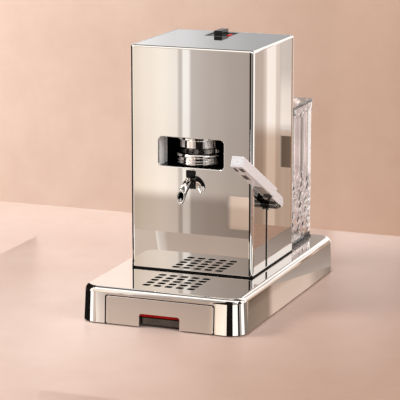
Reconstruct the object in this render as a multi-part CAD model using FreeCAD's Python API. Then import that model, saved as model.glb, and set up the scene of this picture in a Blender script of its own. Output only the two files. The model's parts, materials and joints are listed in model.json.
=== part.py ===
import FreeCAD, Part
import math
import os

# Pod espresso machine with a mirror steel body on a chromed base, in millimetres.
# X is to the right along the front, Y to the rear, Z up. The origin is the centre
# of the footprint, on the surface that the feet stand on.

Vector = FreeCAD.Vector
X_AXIS = Vector(1, 0, 0)
Z_AXIS = Vector(0, 0, 1)

# General clearances
FIT_GAP = 0.3
RUNNING_GAP = 0.06
SEATED_GAP = 0.1
CLOSE_GAP = 0.05
SHAFT_FIT = 0.02
THROUGH = 5.0

# Base housing
BASE_WIDTH = 207.0
BASE_DEPTH = 358.0
BASE_TOP = 44.5
BASE_FOOT_GAP = 1.5
BASE_WALL = 2.5
BASE_DRAFT = 3.0
BASE_CORNER_RADIUS = 22.0
BASE_EDGE_RADIUS = 7.0
DECK_SHARE = 103.0 / 358.0
DECK_DEPTH = BASE_DEPTH * DECK_SHARE

# Grille in the base top
GRILLE_COUNT = 5
GRILLE_PITCH_X = 14.2
GRILLE_PITCH_Y = 12.6
GRILLE_CENTRE_Y = -BASE_DEPTH / 2 + DECK_DEPTH / 2 + 5.0
SLOT_X = 8.4
SLOT_Y = 7.6
SLOT_RADIUS = 2.4

# Base plate, feet and their screws
PLATE_THICKNESS = 1.5
PLATE_BOTTOM = 3.0
PLATE_LIP_HEIGHT = 7.8
FOOT_RADIUS = 10.0
FOOT_X = BASE_WIDTH / 2 - 25.5
FOOT_Y = BASE_DEPTH / 2 - 33.0
BOSS_RADIUS = 5.0
BOSS_X = BASE_WIDTH / 2 - 15.5
BOSS_Y = BASE_DEPTH / 2 - 59.0
BASE_SCREW_RADIUS = 1.6
BASE_SCREW_GRIP = 12.0
SCREW_HEAD_RADIUS = 3.4
SCREW_HEAD_HEIGHT = 2.0

# Drip drawer
DRAWER_WIDTH = 138.5
DRAWER_TOP = 36.0
DRAWER_GAP = 0.6
DRAWER_CORNER_RADIUS = 3.0
DRAWER_BACK_Y = -BASE_DEPTH / 2 + 4.5
NOTCH_WIDTH = 51.0
NOTCH_TOP = 16.8
NOTCH_RADIUS = 3.0
TRAY_WIDTH = 128.0
TRAY_LENGTH = DECK_DEPTH + 9.0
TRAY_BOTTOM = 13.0
TRAY_TOP = 35.0
TRAY_WALL = 2.0
TRAY_RADIUS = 6.0
RUNNER_LENGTH = 150.0
RUNNER_THICKNESS = 1.5
RUNNER_FLANGE = 7.0

# Body shell, folded from one sheet
BODY_WIDTH = 158.0
BODY_DEPTH = 150.0
BODY_FRONT = -BASE_DEPTH / 2 + DECK_DEPTH
BODY_TOP = 320.0
SHEET = 1.5
BODY_EDGE_RADIUS = 2.6
RIM_WIDTH = 3.0
RIM_ROUND = 1.2
REAR_FLANGE = 9.0
BOTTOM_FLANGE = 8.0
GASKET_HEIGHT = 3.0
GASKET_INSET = 0.6
GASKET_WIDTH = 9.0

# Rear panel
REAR_SCREW_MARGIN = 20.0
VENT_ROWS = 7
VENT_COLUMNS = 3
VENT_BOTTOM = BODY_TOP - 80.0
VENT_PITCH = 9.0
VENT_HEIGHT = 3.0
VENT_WIDTH = 28.0
VENT_SPACING = 38.0

# Pod window and spout slot in the front
WINDOW_WIDTH = 83.0
WINDOW_BOTTOM = 174.5
WINDOW_TOP = 210.0
WINDOW_RADIUS = 5.0
WINDOW_EDGE_ROUND = 1.2
SPOUT_SLOT_WIDTH = 12.4
SPOUT_SLOT_BOTTOM = 148.8
SPOUT_SLOT_TOP = 171.4
SPOUT_SLOT_RADIUS = 1.0

# Top panel and switch
TOP_RECESS = 1.5
TOP_CORNER_RADIUS = 1.0
SWITCH_CENTRE_X = -7.0
SWITCH_CENTRE_Y = BODY_FRONT + 122.0
SWITCH_WIDTH = 33.0
SWITCH_LENGTH = 37.0
SWITCH_RADIUS = 1.5
BEZEL_WIDTH = 1.3
BEZEL_PROUD = 0.4
WELL_DEPTH = 4.5
SWITCH_BODY_HEIGHT = 26.0
KNOB_WIDTH = 10.5
KNOB_LENGTH = 23.0
KNOB_OFFSET_Y = -2.0
KNOB_TOP = BODY_TOP + 5.8
KNOB_PIVOT_Z = BODY_TOP - 11.0
KNOB_TILT = 8.0
KNOB_ROOT_DEPTH = 4.0
KNOB_EDGE_ROUND = 1.0
KNOB_PIN_RADIUS = 1.5
KNOB_PIN_SEAT = 3.0
LAMP_WIDTH = 4.6
LAMP_LENGTH = 22.0
LAMP_GAP = 0.3
LAMP_HEIGHT = 3.2

# Group: pod carrier, spout and head, all on one upright axis
GROUP_Y = BODY_FRONT + 31.0
CARRIER_RADIUS = 29.0
CARRIER_TOP = 189.8
CARRIER_BOTTOM = 176.0
POD_RADIUS = 23.5
POD_FLOOR = 182.4
POD_LEAD_IN = 0.8
POD_FUNNEL = 2.0
BEAD_HEIGHT = 5.8
BEAD_ROUND = 1.4
RING_START = 1.2
RING_PITCH = 3.0
RING_THICKNESS = 1.6
RING_DEPTH = 1.6
RING_STEP = 0.3
RING_BEVEL = 0.4
CARRIER_LIFT = 6.0
OUTLET_WIDTH = 18.0
OUTLET_FRONT = BODY_FRONT + 20.0
OUTLET_BACK = BODY_FRONT + 40.0
TAIL_BACK = BODY_FRONT + 62.0
TAIL_THICKNESS = 5.7
TAIL_WIDTH = 16.0
STEM_RADIUS = 5.0
STEM_Y = BODY_FRONT + 26.0
STEM_BOTTOM = 88.0
FILTER_THICKNESS = 0.8
SIEVE_RINGS = (5.0, 10.0, 15.0)
SIEVE_HOLE = 0.9
HEAD_RADIUS = 25.0
HEAD_GAP = 0.3
HEAD_HEIGHT = 9.5
HEAD_FLANGE_RADIUS = 28.0
HEAD_FLANGE_THICKNESS = 4.0
HEAD_NECK_RADIUS = 20.0
HEAD_BEVEL = 0.8
SEAL_THICKNESS = 2.4
SEAL_PROUD = 0.4
SEAL_OUTER = 24.2
SEAL_INNER = 19.6
SCREEN_THICKNESS = 0.5
SCREEN_INSET = 1.0

# Spout
SPOUT_OUTER = 5.5
SPOUT_INNER = 3.5
SPOUT_Z = 159.3
SPOUT_BEND_START = BODY_FRONT
SPOUT_BEND_RADIUS = 45.0
SPOUT_BEND_ANGLE = 42.0
SPOUT_STRAIGHT = 4.0
SPOUT_CUT_LEAN = 12.0
NUT_RADIUS = 8.0
NUT_LENGTH = 5.0
SHUTTER_THICKNESS = 1.2
SHUTTER_HALF_WIDTH = 10.5
SHUTTER_BOTTOM = 141.0
SHUTTER_TOP = 173.4

# Lever: its own frame has S along the bar from the pivot and N square to it
PIVOT_Y = BODY_FRONT + 50.0
PIVOT_Z = 129.0
LEVER_ANGLE = 27.3
LEVER_SWING = 55.0
SHAFT_RADIUS = 5.0
SHAFT_LEFT = -60.0
LEVER_INNER_X = BODY_WIDTH / 2 + 4.0
LEVER_OUTER_X = LEVER_INNER_X + 15.0
GRIP_BOTTOM_N = -1.2
GRIP_TOP_N = 11.8
GRIP_START_S = 24.4
GRIP_END_S = 154.8
GRIP_WALL = 1.6
GRIP_EDGE_ROUND = 0.9
BOSS_END_RADIUS = 8.2
CHANNEL_END_S = 73.0
ARM_SIDE_GAP = 0.2
ARM_OUTER_GAP = 0.7
ARM_LOW_RADIUS = 8.0
ARM_LOW_CHAMFER = 2.4
ARM_UNDERSIDE_N = -1.0
ARM_CLEARANCE = 0.2
POCKET_DEPTH = 5.0
TIP_POCKET_MARGIN = 7.0
TIP_POCKET_LENGTH = 12.0
TIP_POCKET_INNER = 2.8
TIP_POCKET_OUTER = 4.2
MID_POCKET_MARGIN = 36.0
MID_POCKET_LENGTH = 15.5
MID_POCKET_WIDTH = 5.4
BOSS_SKIRT_N = -3.3
BOSS_INNER_X = LEVER_INNER_X + 3.5
BOSS_RECESS = 0.4
BOSS_OVERLAP = 8.0
BOSS_WALL = 1.2
CAP_INSET = 2.0
CAP_DEPTH = 3.0
CAP_PROUD = 0.15
CAP_DIMPLE = 0.9
CAP_CLEARANCE = 0.15
HUB_RADIUS = 8.0
HUB_START_X = BODY_WIDTH / 2 + 1.9
SET_SCREW_RADIUS = 1.8
SET_SCREW_PROUD = 2.0
TAPPED_RADIUS = 1.5
CAM_HALF_WIDTH = 6.0
CAM_LIFT_START = 12.0
CAM_HUB_RADIUS = 8.5
CAM_MARGIN_ANGLE = 8.0
CAM_STEPS = 14
COLLAR_LENGTH = 4.0
BUSH_RADIUS = 7.0
BUSH_FLANGE_RADIUS = 9.5
BUSH_FLANGE = 1.5
SLIT_WIDTH = 3.6

# Window lining and its chrome cheeks
LINING_HALF_WIDTH = 45.5
LINING_WALL = 1.5
LINING_FLOOR = 172.0
LINING_TOP = 214.0
LINING_BACK = BODY_FRONT + 66.0
CHEEK_INNER_X = 42.5
CHEEK_DEPTH = 20.0
RAIL_FRONT = BODY_FRONT + 25.5
RAIL_BACK = BODY_FRONT + 30.0

# Chassis bracket
CHASSIS_SHEET = 2.0
CHASSIS_HALF_WIDTH = 62.0
CHASSIS_Y = BODY_FRONT + 78.0
CHASSIS_FOOT_BACK = BODY_FRONT + 138.0
CHASSIS_SCREW_INSET = 8.0
CHASSIS_SCREW_FRONT = 14.0
EAR_X = 50.0
EAR_FRONT = BODY_FRONT + 34.0
EAR_BOTTOM = 112.0
GUIDE_BOTTOM = 92.0
GUIDE_TOP = 112.0
GUIDE_HALF_WIDTH = 12.0
GUIDE_FRONT = BODY_FRONT + 16.0
GUIDE_WALL = 4.5

# Boiler on the chassis shelf
BOILER_RADIUS = 26.0
BOILER_FLANGE_RADIUS = 28.5
BOILER_FLANGE = 5.0
BOILER_HEIGHT = 52.0
BOILER_ROUND = 8.0
TERMINAL_X = 12.0
TERMINAL_RADIUS = 3.0
TERMINAL_POST = 3.0
BLADE_WIDTH = 6.2
BLADE_THICKNESS = 0.8
BLADE_HEIGHT = 10.0
THERMOSTAT_RADIUS = 8.0
THERMOSTAT_HEIGHT = 6.0
THERMOSTAT_RIM = 2.0
FITTING_RADIUS = 5.0
FITTING_LENGTH = 8.0
FITTING_Z = LINING_TOP + CHASSIS_SHEET + 28.0

# Pump, upright behind the chassis plate
PUMP_X = -30.0
PUMP_Y = BODY_FRONT + 114.0
PUMP_BOTTOM = 60.0
PUMP_NOZZLE_RADIUS = 4.0
PUMP_NOZZLE = 14.0
PUMP_END_RADIUS = 12.0
PUMP_END = 20.0
PUMP_COIL = 44.0
PUMP_COIL_HEIGHT = 46.0
PUMP_COIL_FLAT = 4.0
PUMP_COIL_RADIUS = 3.0
MOUNT_RADIUS = 16.0
MOUNT_HEIGHT = 6.0
SHELF_REACH = 5.0
SHELF_TAB = 13.0

# Hoses
HOSE_OUTER = 4.5
HOSE_INNER = 2.5
HOSE_BEND = 14.0

# Water tank at the rear
TANK_HALF_WIDTH = BODY_WIDTH / 2 - 5.7
TANK_FRONT = BODY_FRONT + BODY_DEPTH + 5.4
TANK_BACK = BASE_DEPTH / 2 - 12.2
TANK_BOTTOM = 46.8
TANK_TOP = 223.0
TANK_WALL = 2.5
TANK_RADIUS = 9.0
TANK_LIP = 8.0
TANK_LIP_PROUD = 1.4
LID_THICKNESS = 2.2
LID_SKIRT = 5.0
LID_SKIRT_WALL = 1.8
LID_SKIRT_GAP = 0.5
LID_EDGE_ROUND = 1.0
LID_HOLE_RADIUS = 13.0
SEAT_WALL = 2.0
SEAT_GAP = 0.7
SEAT_FLOOR = 2.0
SEAT_HEIGHT = 5.0
VALVE_X = -30.0
VALVE_Y = TANK_FRONT + 30.6
VALVE_RADIUS = 6.0
VALVE_LENGTH = 9.0
VALVE_NECK = 1.6
SOCKET_RADIUS = 10.0
SOCKET_BOTTOM = 28.0
SOCKET_GAP = 0.08
BARB_Z = 32.0
BARB_LENGTH = 9.0

# Mains cord entry in the rear wall of the base
ENTRY_X = 60.0
ENTRY_Z = 22.0
ENTRY_BORE = 4.0
ENTRY_NECK = 6.0
ENTRY_FLANGE = 9.0
ENTRY_LENGTH = 12.0
ENTRY_FLANGE_THICKNESS = 3.0

# Small screws
SCREW_RADIUS = 1.5
PAN_HEAD_RADIUS = 3.0
PAN_HEAD_HEIGHT = 1.6

# Worked out from the sizes above
BODY_BOTTOM = BASE_TOP + GASKET_HEIGHT
BODY_BACK = BODY_FRONT + BODY_DEPTH
BODY_HALF = BODY_WIDTH / 2
INNER_HALF = BODY_HALF - SHEET
INNER_FRONT = BODY_FRONT + SHEET
INNER_BACK = BODY_BACK - SHEET
TOP_FACE = BODY_TOP - TOP_RECESS
TOP_UNDER = TOP_FACE - SHEET
BASE_CEILING = BASE_TOP - BASE_WALL
PLATE_TOP = PLATE_BOTTOM + PLATE_THICKNESS
HEAD_BOTTOM = CARRIER_TOP + CARRIER_LIFT + HEAD_GAP + SEAL_PROUD
SHELF_BOTTOM = LINING_TOP
SHELF_TOP = SHELF_BOTTOM + CHASSIS_SHEET
TAIL_BOTTOM = PIVOT_Z + CAM_LIFT_START + FIT_GAP
CAM_RATE = CARRIER_LIFT / math.radians(LEVER_SWING)
WELL_FLOOR = TOP_FACE - WELL_DEPTH
KNOB_Y = SWITCH_CENTRE_Y + KNOB_OFFSET_Y


def box(x0, x1, y0, y1, z0, z1):
    """Block between two corners."""
    return Part.makeBox(x1 - x0, y1 - y0, z1 - z0, Vector(x0, y0, z0))


def rod(radius, start, end):
    """Round bar from one point to another."""
    run = end - start
    return Part.makeCylinder(radius, run.Length, start, run)


def rounded_outline(x0, x1, y0, y1, z, radius):
    """Closed rectangle with round corners, lying flat at height z."""
    corners = [(x1 - radius, y0 + radius, -90), (x1 - radius, y1 - radius, 0),
               (x0 + radius, y1 - radius, 90), (x0 + radius, y0 + radius, 180)]
    arcs = []
    for cx, cy, start in corners:
        points = []
        for k in range(3):
            angle = math.radians(start) + k * math.pi / 4
            points.append(Vector(cx + radius * math.cos(angle), cy + radius * math.sin(angle), z))
        arcs.append(points)
    edges = []
    for i, points in enumerate(arcs):
        edges.append(Part.Arc(*points).toShape())
        edges.append(Part.LineSegment(points[2], arcs[(i + 1) % 4][0]).toShape())
    return Part.Wire(edges)


def rounded_block(x0, x1, y0, y1, z0, z1, radius):
    """Upright block with round vertical corners."""
    outline = rounded_outline(x0, x1, y0, y1, z0, radius)
    return Part.Face(outline).extrude(Vector(0, 0, z1 - z0))


def front_block(x0, x1, z0, z1, y0, y1, radius):
    """Block with corners rounded as seen from the front."""
    flat = rounded_block(x0, x1, z0, z1, 0, y1 - y0, radius)
    flat.rotate(Vector(0, 0, 0), X_AXIS, 90)
    flat.translate(Vector(0, y1, 0))
    return flat


def turned(profile, x, y):
    """Solid turned about an upright axis from (radius, height) points."""
    corners = [Vector(r, 0, z) for r, z in profile]
    face = Part.Face(Part.makePolygon(corners + corners[:1]))
    solid = face.revolve(Vector(0, 0, 0), Z_AXIS, 360)
    solid.translate(Vector(x, y, 0))
    return solid


def edges_where(shape, test):
    """Edges whose every sampled point passes the test."""
    found = []
    for edge in shape.Edges:
        first, last = edge.ParameterRange
        points = [edge.valueAt(first + (last - first) * k / 4) for k in range(5)]
        if all(test(point) for point in points):
            found.append(edge)
    return found


def bent_path(corners, radius):
    """Straight runs through the corners, joined by tangent arcs of one radius."""
    edges = []
    start = corners[0]
    for before, corner, after in zip(corners, corners[1:], corners[2:]):
        back = (before - corner).normalize()
        ahead = (after - corner).normalize()
        half = back.getAngle(ahead) / 2
        reach = radius / math.tan(half)
        middle = (back + ahead).normalize()
        first = corner + back * reach
        last = corner + ahead * reach
        inner = corner + middle * (radius / math.sin(half) - radius)
        edges.append(Part.LineSegment(start, first).toShape())
        edges.append(Part.Arc(first, inner, last).toShape())
        start = last
    edges.append(Part.LineSegment(start, corners[-1]).toShape())
    return Part.Wire(edges)


def pipe(path, outer, inner):
    """Tube of two radii swept along a wire."""
    first = path.Edges[0]
    start = first.valueAt(first.FirstParameter)
    heading = first.tangentAt(first.FirstParameter)
    walls = []
    for radius in (outer, inner):
        ring = Part.Wire([Part.makeCircle(radius, start, heading)])
        walls.append(path.makePipeShell([ring], True, False))
    return walls[0].cut(walls[1])


def lever_turn(shape):
    """Turn a shape from the lever's level frame to its place on the pivot."""
    shape.rotate(Vector(0, 0, 0), X_AXIS, -LEVER_ANGLE)
    shape.translate(Vector(0, PIVOT_Y, PIVOT_Z))
    return shape


def lever_box(x0, x1, s0, s1, n0, n1):
    """Block given along and across the lever."""
    return box(x0, x1, -s1, -s0, n0, n1)


def drafted_base(inset, top, edge_radius):
    """Base form with leaning walls, inset all round from the outer one."""
    half_x = BASE_WIDTH / 2 - inset
    half_y = BASE_DEPTH / 2 - inset
    radius = BASE_CORNER_RADIUS - inset
    lean = (top - BASE_FOOT_GAP) * math.tan(math.radians(BASE_DRAFT))
    low = rounded_outline(-half_x, half_x, -half_y, half_y, BASE_FOOT_GAP, radius)
    half_x = half_x - lean
    half_y = half_y - lean
    high = rounded_outline(-half_x, half_x, -half_y, half_y, top, radius - lean)
    form = Part.makeLoft([low, high], True, True)
    rim = edges_where(form, lambda p: abs(p.z - top) < 0.001)
    return form.makeFillet(edge_radius, rim)


def base_housing():
    """Chromed base with its grille, drawer opening and inner bosses."""
    shape = drafted_base(0, BASE_TOP, BASE_EDGE_RADIUS)
    shape = shape.cut(drafted_base(BASE_WALL, BASE_CEILING, BASE_EDGE_RADIUS - BASE_WALL))
    shape = shape.fuse(base_bosses()).removeSplitter()
    half = DRAWER_WIDTH / 2
    cuts = [front_block(-half, half, -THROUGH, DRAWER_TOP, -BASE_DEPTH / 2 - THROUGH,
                        DRAWER_BACK_Y + BASE_WALL + 1, DRAWER_CORNER_RADIUS)]
    cuts.extend(grille_slots())
    cuts.append(rod(SOCKET_RADIUS + FIT_GAP, Vector(VALVE_X, VALVE_Y, BASE_CEILING - 1),
                    Vector(VALVE_X, VALVE_Y, BASE_TOP + 1)))
    cuts.append(rod(HOSE_OUTER + 3, Vector(PUMP_X, PUMP_Y, BASE_CEILING - 1),
                    Vector(PUMP_X, PUMP_Y, BASE_TOP + 1)))
    cuts.append(rod(ENTRY_NECK + FIT_GAP / 3, Vector(ENTRY_X, BASE_DEPTH / 2 - 2 * THROUGH, ENTRY_Z),
                    Vector(ENTRY_X, BASE_DEPTH / 2 + THROUGH, ENTRY_Z)))
    return shape.cut(cuts)


def base_bosses():
    """Screw bosses that hang from the underside of the base top."""
    bosses = []
    for x in (-BOSS_X, BOSS_X):
        for y in (-BOSS_Y, BOSS_Y):
            boss = rod(BOSS_RADIUS, Vector(x, y, PLATE_TOP), Vector(x, y, BASE_CEILING + 1))
            bosses.append(boss.cut(rod(BASE_SCREW_RADIUS, Vector(x, y, 0), Vector(x, y, BASE_CEILING - 4))))
    return bosses


def grille_slots():
    """Five by five rounded drain slots through the base top."""
    slots = []
    middle = (GRILLE_COUNT - 1) / 2
    for column in range(GRILLE_COUNT):
        for row in range(GRILLE_COUNT):
            x = (column - middle) * GRILLE_PITCH_X
            y = GRILLE_CENTRE_Y + (row - middle) * GRILLE_PITCH_Y
            slots.append(rounded_block(x - SLOT_X / 2, x + SLOT_X / 2, y - SLOT_Y / 2, y + SLOT_Y / 2,
                                       BASE_CEILING - 1, BASE_TOP + 1, SLOT_RADIUS))
    return slots


def base_plate():
    """Steel plate that closes the base, with a turned-up lip behind the drawer front."""
    inset = BASE_WALL + FIT_GAP + 1
    half_x = BASE_WIDTH / 2 - inset
    half_y = BASE_DEPTH / 2 - inset
    plate = rounded_block(-half_x, half_x, -half_y, half_y, PLATE_BOTTOM, PLATE_TOP,
                          BASE_CORNER_RADIUS - inset)
    lip_half = DRAWER_WIDTH / 2 - 3
    front = DRAWER_BACK_Y + 3
    plate = plate.cut(box(-lip_half - 3, lip_half + 3, -half_y - 1, front, 0, PLATE_TOP + 1))
    lip = box(-lip_half, lip_half, front, front + PLATE_THICKNESS, PLATE_BOTTOM,
              PLATE_BOTTOM + PLATE_LIP_HEIGHT)
    holes = []
    for x in (-BOSS_X, BOSS_X):
        for y in (-BOSS_Y, BOSS_Y):
            holes.append(rod(BASE_SCREW_RADIUS + FIT_GAP, Vector(x, y, 0), Vector(x, y, PLATE_TOP + 1)))
    return plate.fuse(lip).cut(holes).removeSplitter()


def rubber_feet():
    """Four round feet with a bevelled sole."""
    feet = []
    for x in (-FOOT_X, FOOT_X):
        for y in (-FOOT_Y, FOOT_Y):
            profile = [(0, 0), (FOOT_RADIUS - 1, 0), (FOOT_RADIUS, 1), (FOOT_RADIUS, PLATE_BOTTOM),
                       (0, PLATE_BOTTOM)]
            feet.append(turned(profile, x, y))
    return Part.makeCompound(feet)


def base_screws():
    """Screws that hold the base plate to the bosses."""
    screws = []
    for x in (-BOSS_X, BOSS_X):
        for y in (-BOSS_Y, BOSS_Y):
            head = rod(SCREW_HEAD_RADIUS, Vector(x, y, PLATE_BOTTOM - SCREW_HEAD_HEIGHT),
                       Vector(x, y, PLATE_BOTTOM))
            shank = rod(BASE_SCREW_RADIUS - SEATED_GAP, Vector(x, y, PLATE_BOTTOM),
                        Vector(x, y, PLATE_TOP + BASE_SCREW_GRIP))
            screws.append(head.fuse(shank))
    return Part.makeCompound(screws)


def drawer_front():
    """Chromed front of the drawer, flush with the leaning wall, with a finger notch."""
    half = DRAWER_WIDTH / 2 - DRAWER_GAP
    blank = drafted_base(0, BASE_TOP, BASE_EDGE_RADIUS)
    panel = front_block(-half, half, -THROUGH, DRAWER_TOP - DRAWER_GAP, -BASE_DEPTH / 2 - THROUGH,
                        DRAWER_BACK_Y, DRAWER_CORNER_RADIUS - DRAWER_GAP)
    panel = panel.common(blank)
    notch_half = NOTCH_WIDTH / 2
    notch = front_block(-notch_half, notch_half, -2 * THROUGH, NOTCH_TOP, -BASE_DEPTH / 2 - THROUGH,
                        DRAWER_BACK_Y + 1, NOTCH_RADIUS)
    return panel.cut(notch)


def drip_tray():
    """Open plastic tray behind the drawer front, under the grille."""
    half = TRAY_WIDTH / 2
    front = DRAWER_BACK_Y
    back = front + TRAY_LENGTH
    outer = rounded_block(-half, half, front, back, TRAY_BOTTOM, TRAY_TOP, TRAY_RADIUS)
    inner = rounded_block(-half + TRAY_WALL, half - TRAY_WALL, front + TRAY_WALL, back - TRAY_WALL,
                          TRAY_BOTTOM + TRAY_WALL, TRAY_TOP + 1, TRAY_RADIUS - TRAY_WALL)
    return outer.cut(inner)


def drawer_runners():
    """Two Z-section rails on the base plate that the tray slides on."""
    rails = []
    front = DRAWER_BACK_Y + 6
    top = TRAY_BOTTOM - FIT_GAP
    for side in (-1, 1):
        edge = side * (TRAY_WIDTH / 2 + FIT_GAP + RUNNER_THICKNESS)
        inner = edge - side * RUNNER_FLANGE
        web = edge - side * RUNNER_THICKNESS
        x0, x1 = sorted((web, edge))
        rail = box(x0, x1, front, front + RUNNER_LENGTH, PLATE_TOP, top + 6)
        x0, x1 = sorted((inner, edge))
        rail = rail.fuse(box(x0, x1, front, front + RUNNER_LENGTH, top - RUNNER_THICKNESS, top))
        x0, x1 = sorted((edge, edge + side * 5))
        rail = rail.fuse(box(x0, x1, front, front + RUNNER_LENGTH, PLATE_TOP, PLATE_TOP + RUNNER_THICKNESS))
        rails.append(rail.removeSplitter())
    return Part.makeCompound(rails)


def body_shell():
    """Mirror steel wrap: front, both sides, a folded top rim and rear and bottom flanges."""
    outer = rounded_block(-BODY_HALF, BODY_HALF, BODY_FRONT, BODY_BACK, BODY_BOTTOM, BODY_TOP,
                          BODY_EDGE_RADIUS)
    top_edges = edges_where(outer, lambda p: abs(p.z - BODY_TOP) < 0.001)
    outer = outer.makeFillet(RIM_ROUND, top_edges)
    inner_radius = BODY_EDGE_RADIUS - SHEET
    cavity = rounded_block(-INNER_HALF, INNER_HALF, INNER_FRONT, INNER_BACK,
                           BODY_BOTTOM + SHEET, TOP_FACE, inner_radius)
    shell = outer.cut(cavity)
    rim = box(-BODY_HALF + RIM_WIDTH, BODY_HALF - RIM_WIDTH, BODY_FRONT + RIM_WIDTH, BODY_BACK - RIM_WIDTH,
              TOP_FACE - 1, BODY_TOP + 1)
    floor = box(-INNER_HALF + BOTTOM_FLANGE, INNER_HALF - BOTTOM_FLANGE, INNER_FRONT + BOTTOM_FLANGE,
                INNER_BACK - BOTTOM_FLANGE, BODY_BOTTOM - 1, BODY_BOTTOM + SHEET + 1)
    back = box(-INNER_HALF + REAR_FLANGE, INNER_HALF - REAR_FLANGE, INNER_BACK - 1, BODY_BACK + 1,
               BODY_BOTTOM + SHEET, TOP_UNDER)
    window = front_block(-WINDOW_WIDTH / 2, WINDOW_WIDTH / 2, WINDOW_BOTTOM, WINDOW_TOP,
                         BODY_FRONT - 1, INNER_FRONT + 1, WINDOW_RADIUS)
    slot = front_block(-SPOUT_SLOT_WIDTH / 2, SPOUT_SLOT_WIDTH / 2, SPOUT_SLOT_BOTTOM, SPOUT_SLOT_TOP,
                       BODY_FRONT - 1, INNER_FRONT + 1, SPOUT_SLOT_RADIUS)
    slit = box(INNER_HALF - BOTTOM_FLANGE - 1, BODY_HALF + 1, PIVOT_Y - SLIT_WIDTH / 2,
               PIVOT_Y + SLIT_WIDTH / 2, BODY_BOTTOM - 1, PIVOT_Z)
    eye = rod(BUSH_RADIUS + FIT_GAP / 3, Vector(INNER_HALF - 1, PIVOT_Y, PIVOT_Z),
              Vector(BODY_HALF + 1, PIVOT_Y, PIVOT_Z))
    shell = shell.cut([rim, floor, back, window, slot, slit, eye] + rear_screw_holes())

    def on_window_edge(point):
        near_front = abs(point.y - BODY_FRONT) < 0.001
        near_window = (abs(point.x) < WINDOW_WIDTH / 2 + 0.01
                       and WINDOW_BOTTOM - 0.01 < point.z < WINDOW_TOP + 0.01)
        return near_front and near_window

    return shell.makeFillet(WINDOW_EDGE_ROUND, edges_where(shell, on_window_edge))


def rear_screw_places():
    """Places of the rear panel's screws, as (x, z)."""
    x = INNER_HALF - REAR_FLANGE / 2
    heights = [BODY_BOTTOM + REAR_SCREW_MARGIN, (BODY_BOTTOM + BODY_TOP) / 2, BODY_TOP - REAR_SCREW_MARGIN]
    return [(side * x, z) for side in (-1, 1) for z in heights]


def rear_screw_holes():
    """Clearance holes for the rear panel's screws."""
    radius = SCREW_RADIUS + FIT_GAP
    return [rod(radius, Vector(x, INNER_BACK - 3 * SHEET, z), Vector(x, BODY_BACK + 1, z))
            for x, z in rear_screw_places()]


def rear_panel():
    """Painted steel rear wall inside the shell's flanges, with cooling slots."""
    half = INNER_HALF - (BODY_EDGE_RADIUS - SHEET)
    panel = box(-half, half, INNER_BACK - SHEET, INNER_BACK,
                BODY_BOTTOM + SHEET, TOP_UNDER)
    cuts = rear_screw_holes()
    for row in range(VENT_ROWS):
        z = VENT_BOTTOM + row * VENT_PITCH
        for column in range(VENT_COLUMNS):
            x = (column - (VENT_COLUMNS - 1) / 2) * VENT_SPACING - VENT_WIDTH / 2
            cuts.append(box(x, x + VENT_WIDTH, INNER_BACK - SHEET - 1, INNER_BACK + 1, z, z + VENT_HEIGHT))
    return panel.cut(cuts)


def rear_screws():
    """Six pan-head screws through the rear flanges."""
    screws = []
    for x, z in rear_screw_places():
        head = rod(PAN_HEAD_RADIUS, Vector(x, BODY_BACK, z), Vector(x, BODY_BACK + PAN_HEAD_HEIGHT, z))
        shank = rod(SCREW_RADIUS, Vector(x, INNER_BACK - 3 * SHEET, z), Vector(x, BODY_BACK, z))
        screws.append(head.fuse(shank))
    return Part.makeCompound(screws)


def body_gasket():
    """Black rubber strip between the body and the base."""
    inset = GASKET_INSET
    outer = rounded_block(-BODY_HALF + inset, BODY_HALF - inset, BODY_FRONT + inset, BODY_BACK - inset,
                          BASE_TOP, BODY_BOTTOM, BODY_EDGE_RADIUS - inset)
    inset = GASKET_WIDTH
    inner = box(-BODY_HALF + inset, BODY_HALF - inset, BODY_FRONT + inset, BODY_BACK - inset,
                BASE_TOP - 1, BODY_BOTTOM + 1)
    return outer.cut(inner)


def top_panel():
    """Satin steel top plate under the folded rim, with the switch opening."""
    half = INNER_HALF - SEATED_GAP
    plate = rounded_block(-half, half, INNER_FRONT + SEATED_GAP, INNER_BACK - SEATED_GAP,
                          TOP_UNDER, TOP_FACE, TOP_CORNER_RADIUS)
    return plate.cut(switch_block(0, TOP_UNDER - 1, TOP_FACE + 1))


def switch_block(inset, z0, z1):
    """Block on the switch opening's outline, inset all round."""
    half_x = SWITCH_WIDTH / 2 - inset
    half_y = SWITCH_LENGTH / 2 - inset
    return rounded_block(SWITCH_CENTRE_X - half_x, SWITCH_CENTRE_X + half_x, SWITCH_CENTRE_Y - half_y,
                         SWITCH_CENTRE_Y + half_y, z0, z1, max(SWITCH_RADIUS - inset, SWITCH_RADIUS / 2))


def switch_bezel():
    """Light frame round the switch, a little proud of the top plate."""
    outer = switch_block(SEATED_GAP, WELL_FLOOR, TOP_FACE + BEZEL_PROUD)
    return outer.cut(switch_block(BEZEL_WIDTH, WELL_FLOOR - 1, TOP_FACE + BEZEL_PROUD + 1))


def switch_housing():
    """Black switch body below the opening, with the rocker's pocket."""
    body = switch_block(SEATED_GAP, WELL_FLOOR - SWITCH_BODY_HEIGHT, WELL_FLOOR)
    sway = math.sin(math.radians(KNOB_TILT))
    half_x = KNOB_WIDTH / 2 + FIT_GAP
    half_y = KNOB_LENGTH / 2 + (KNOB_TOP - KNOB_PIVOT_Z) * sway
    floor = KNOB_PIVOT_Z - KNOB_ROOT_DEPTH - KNOB_LENGTH / 2 * sway - FIT_GAP
    pocket = box(SWITCH_CENTRE_X - half_x, SWITCH_CENTRE_X + half_x, KNOB_Y - half_y, KNOB_Y + half_y,
                 floor, WELL_FLOOR + 1)
    return body.cut([pocket, rocker_pin()])


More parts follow.
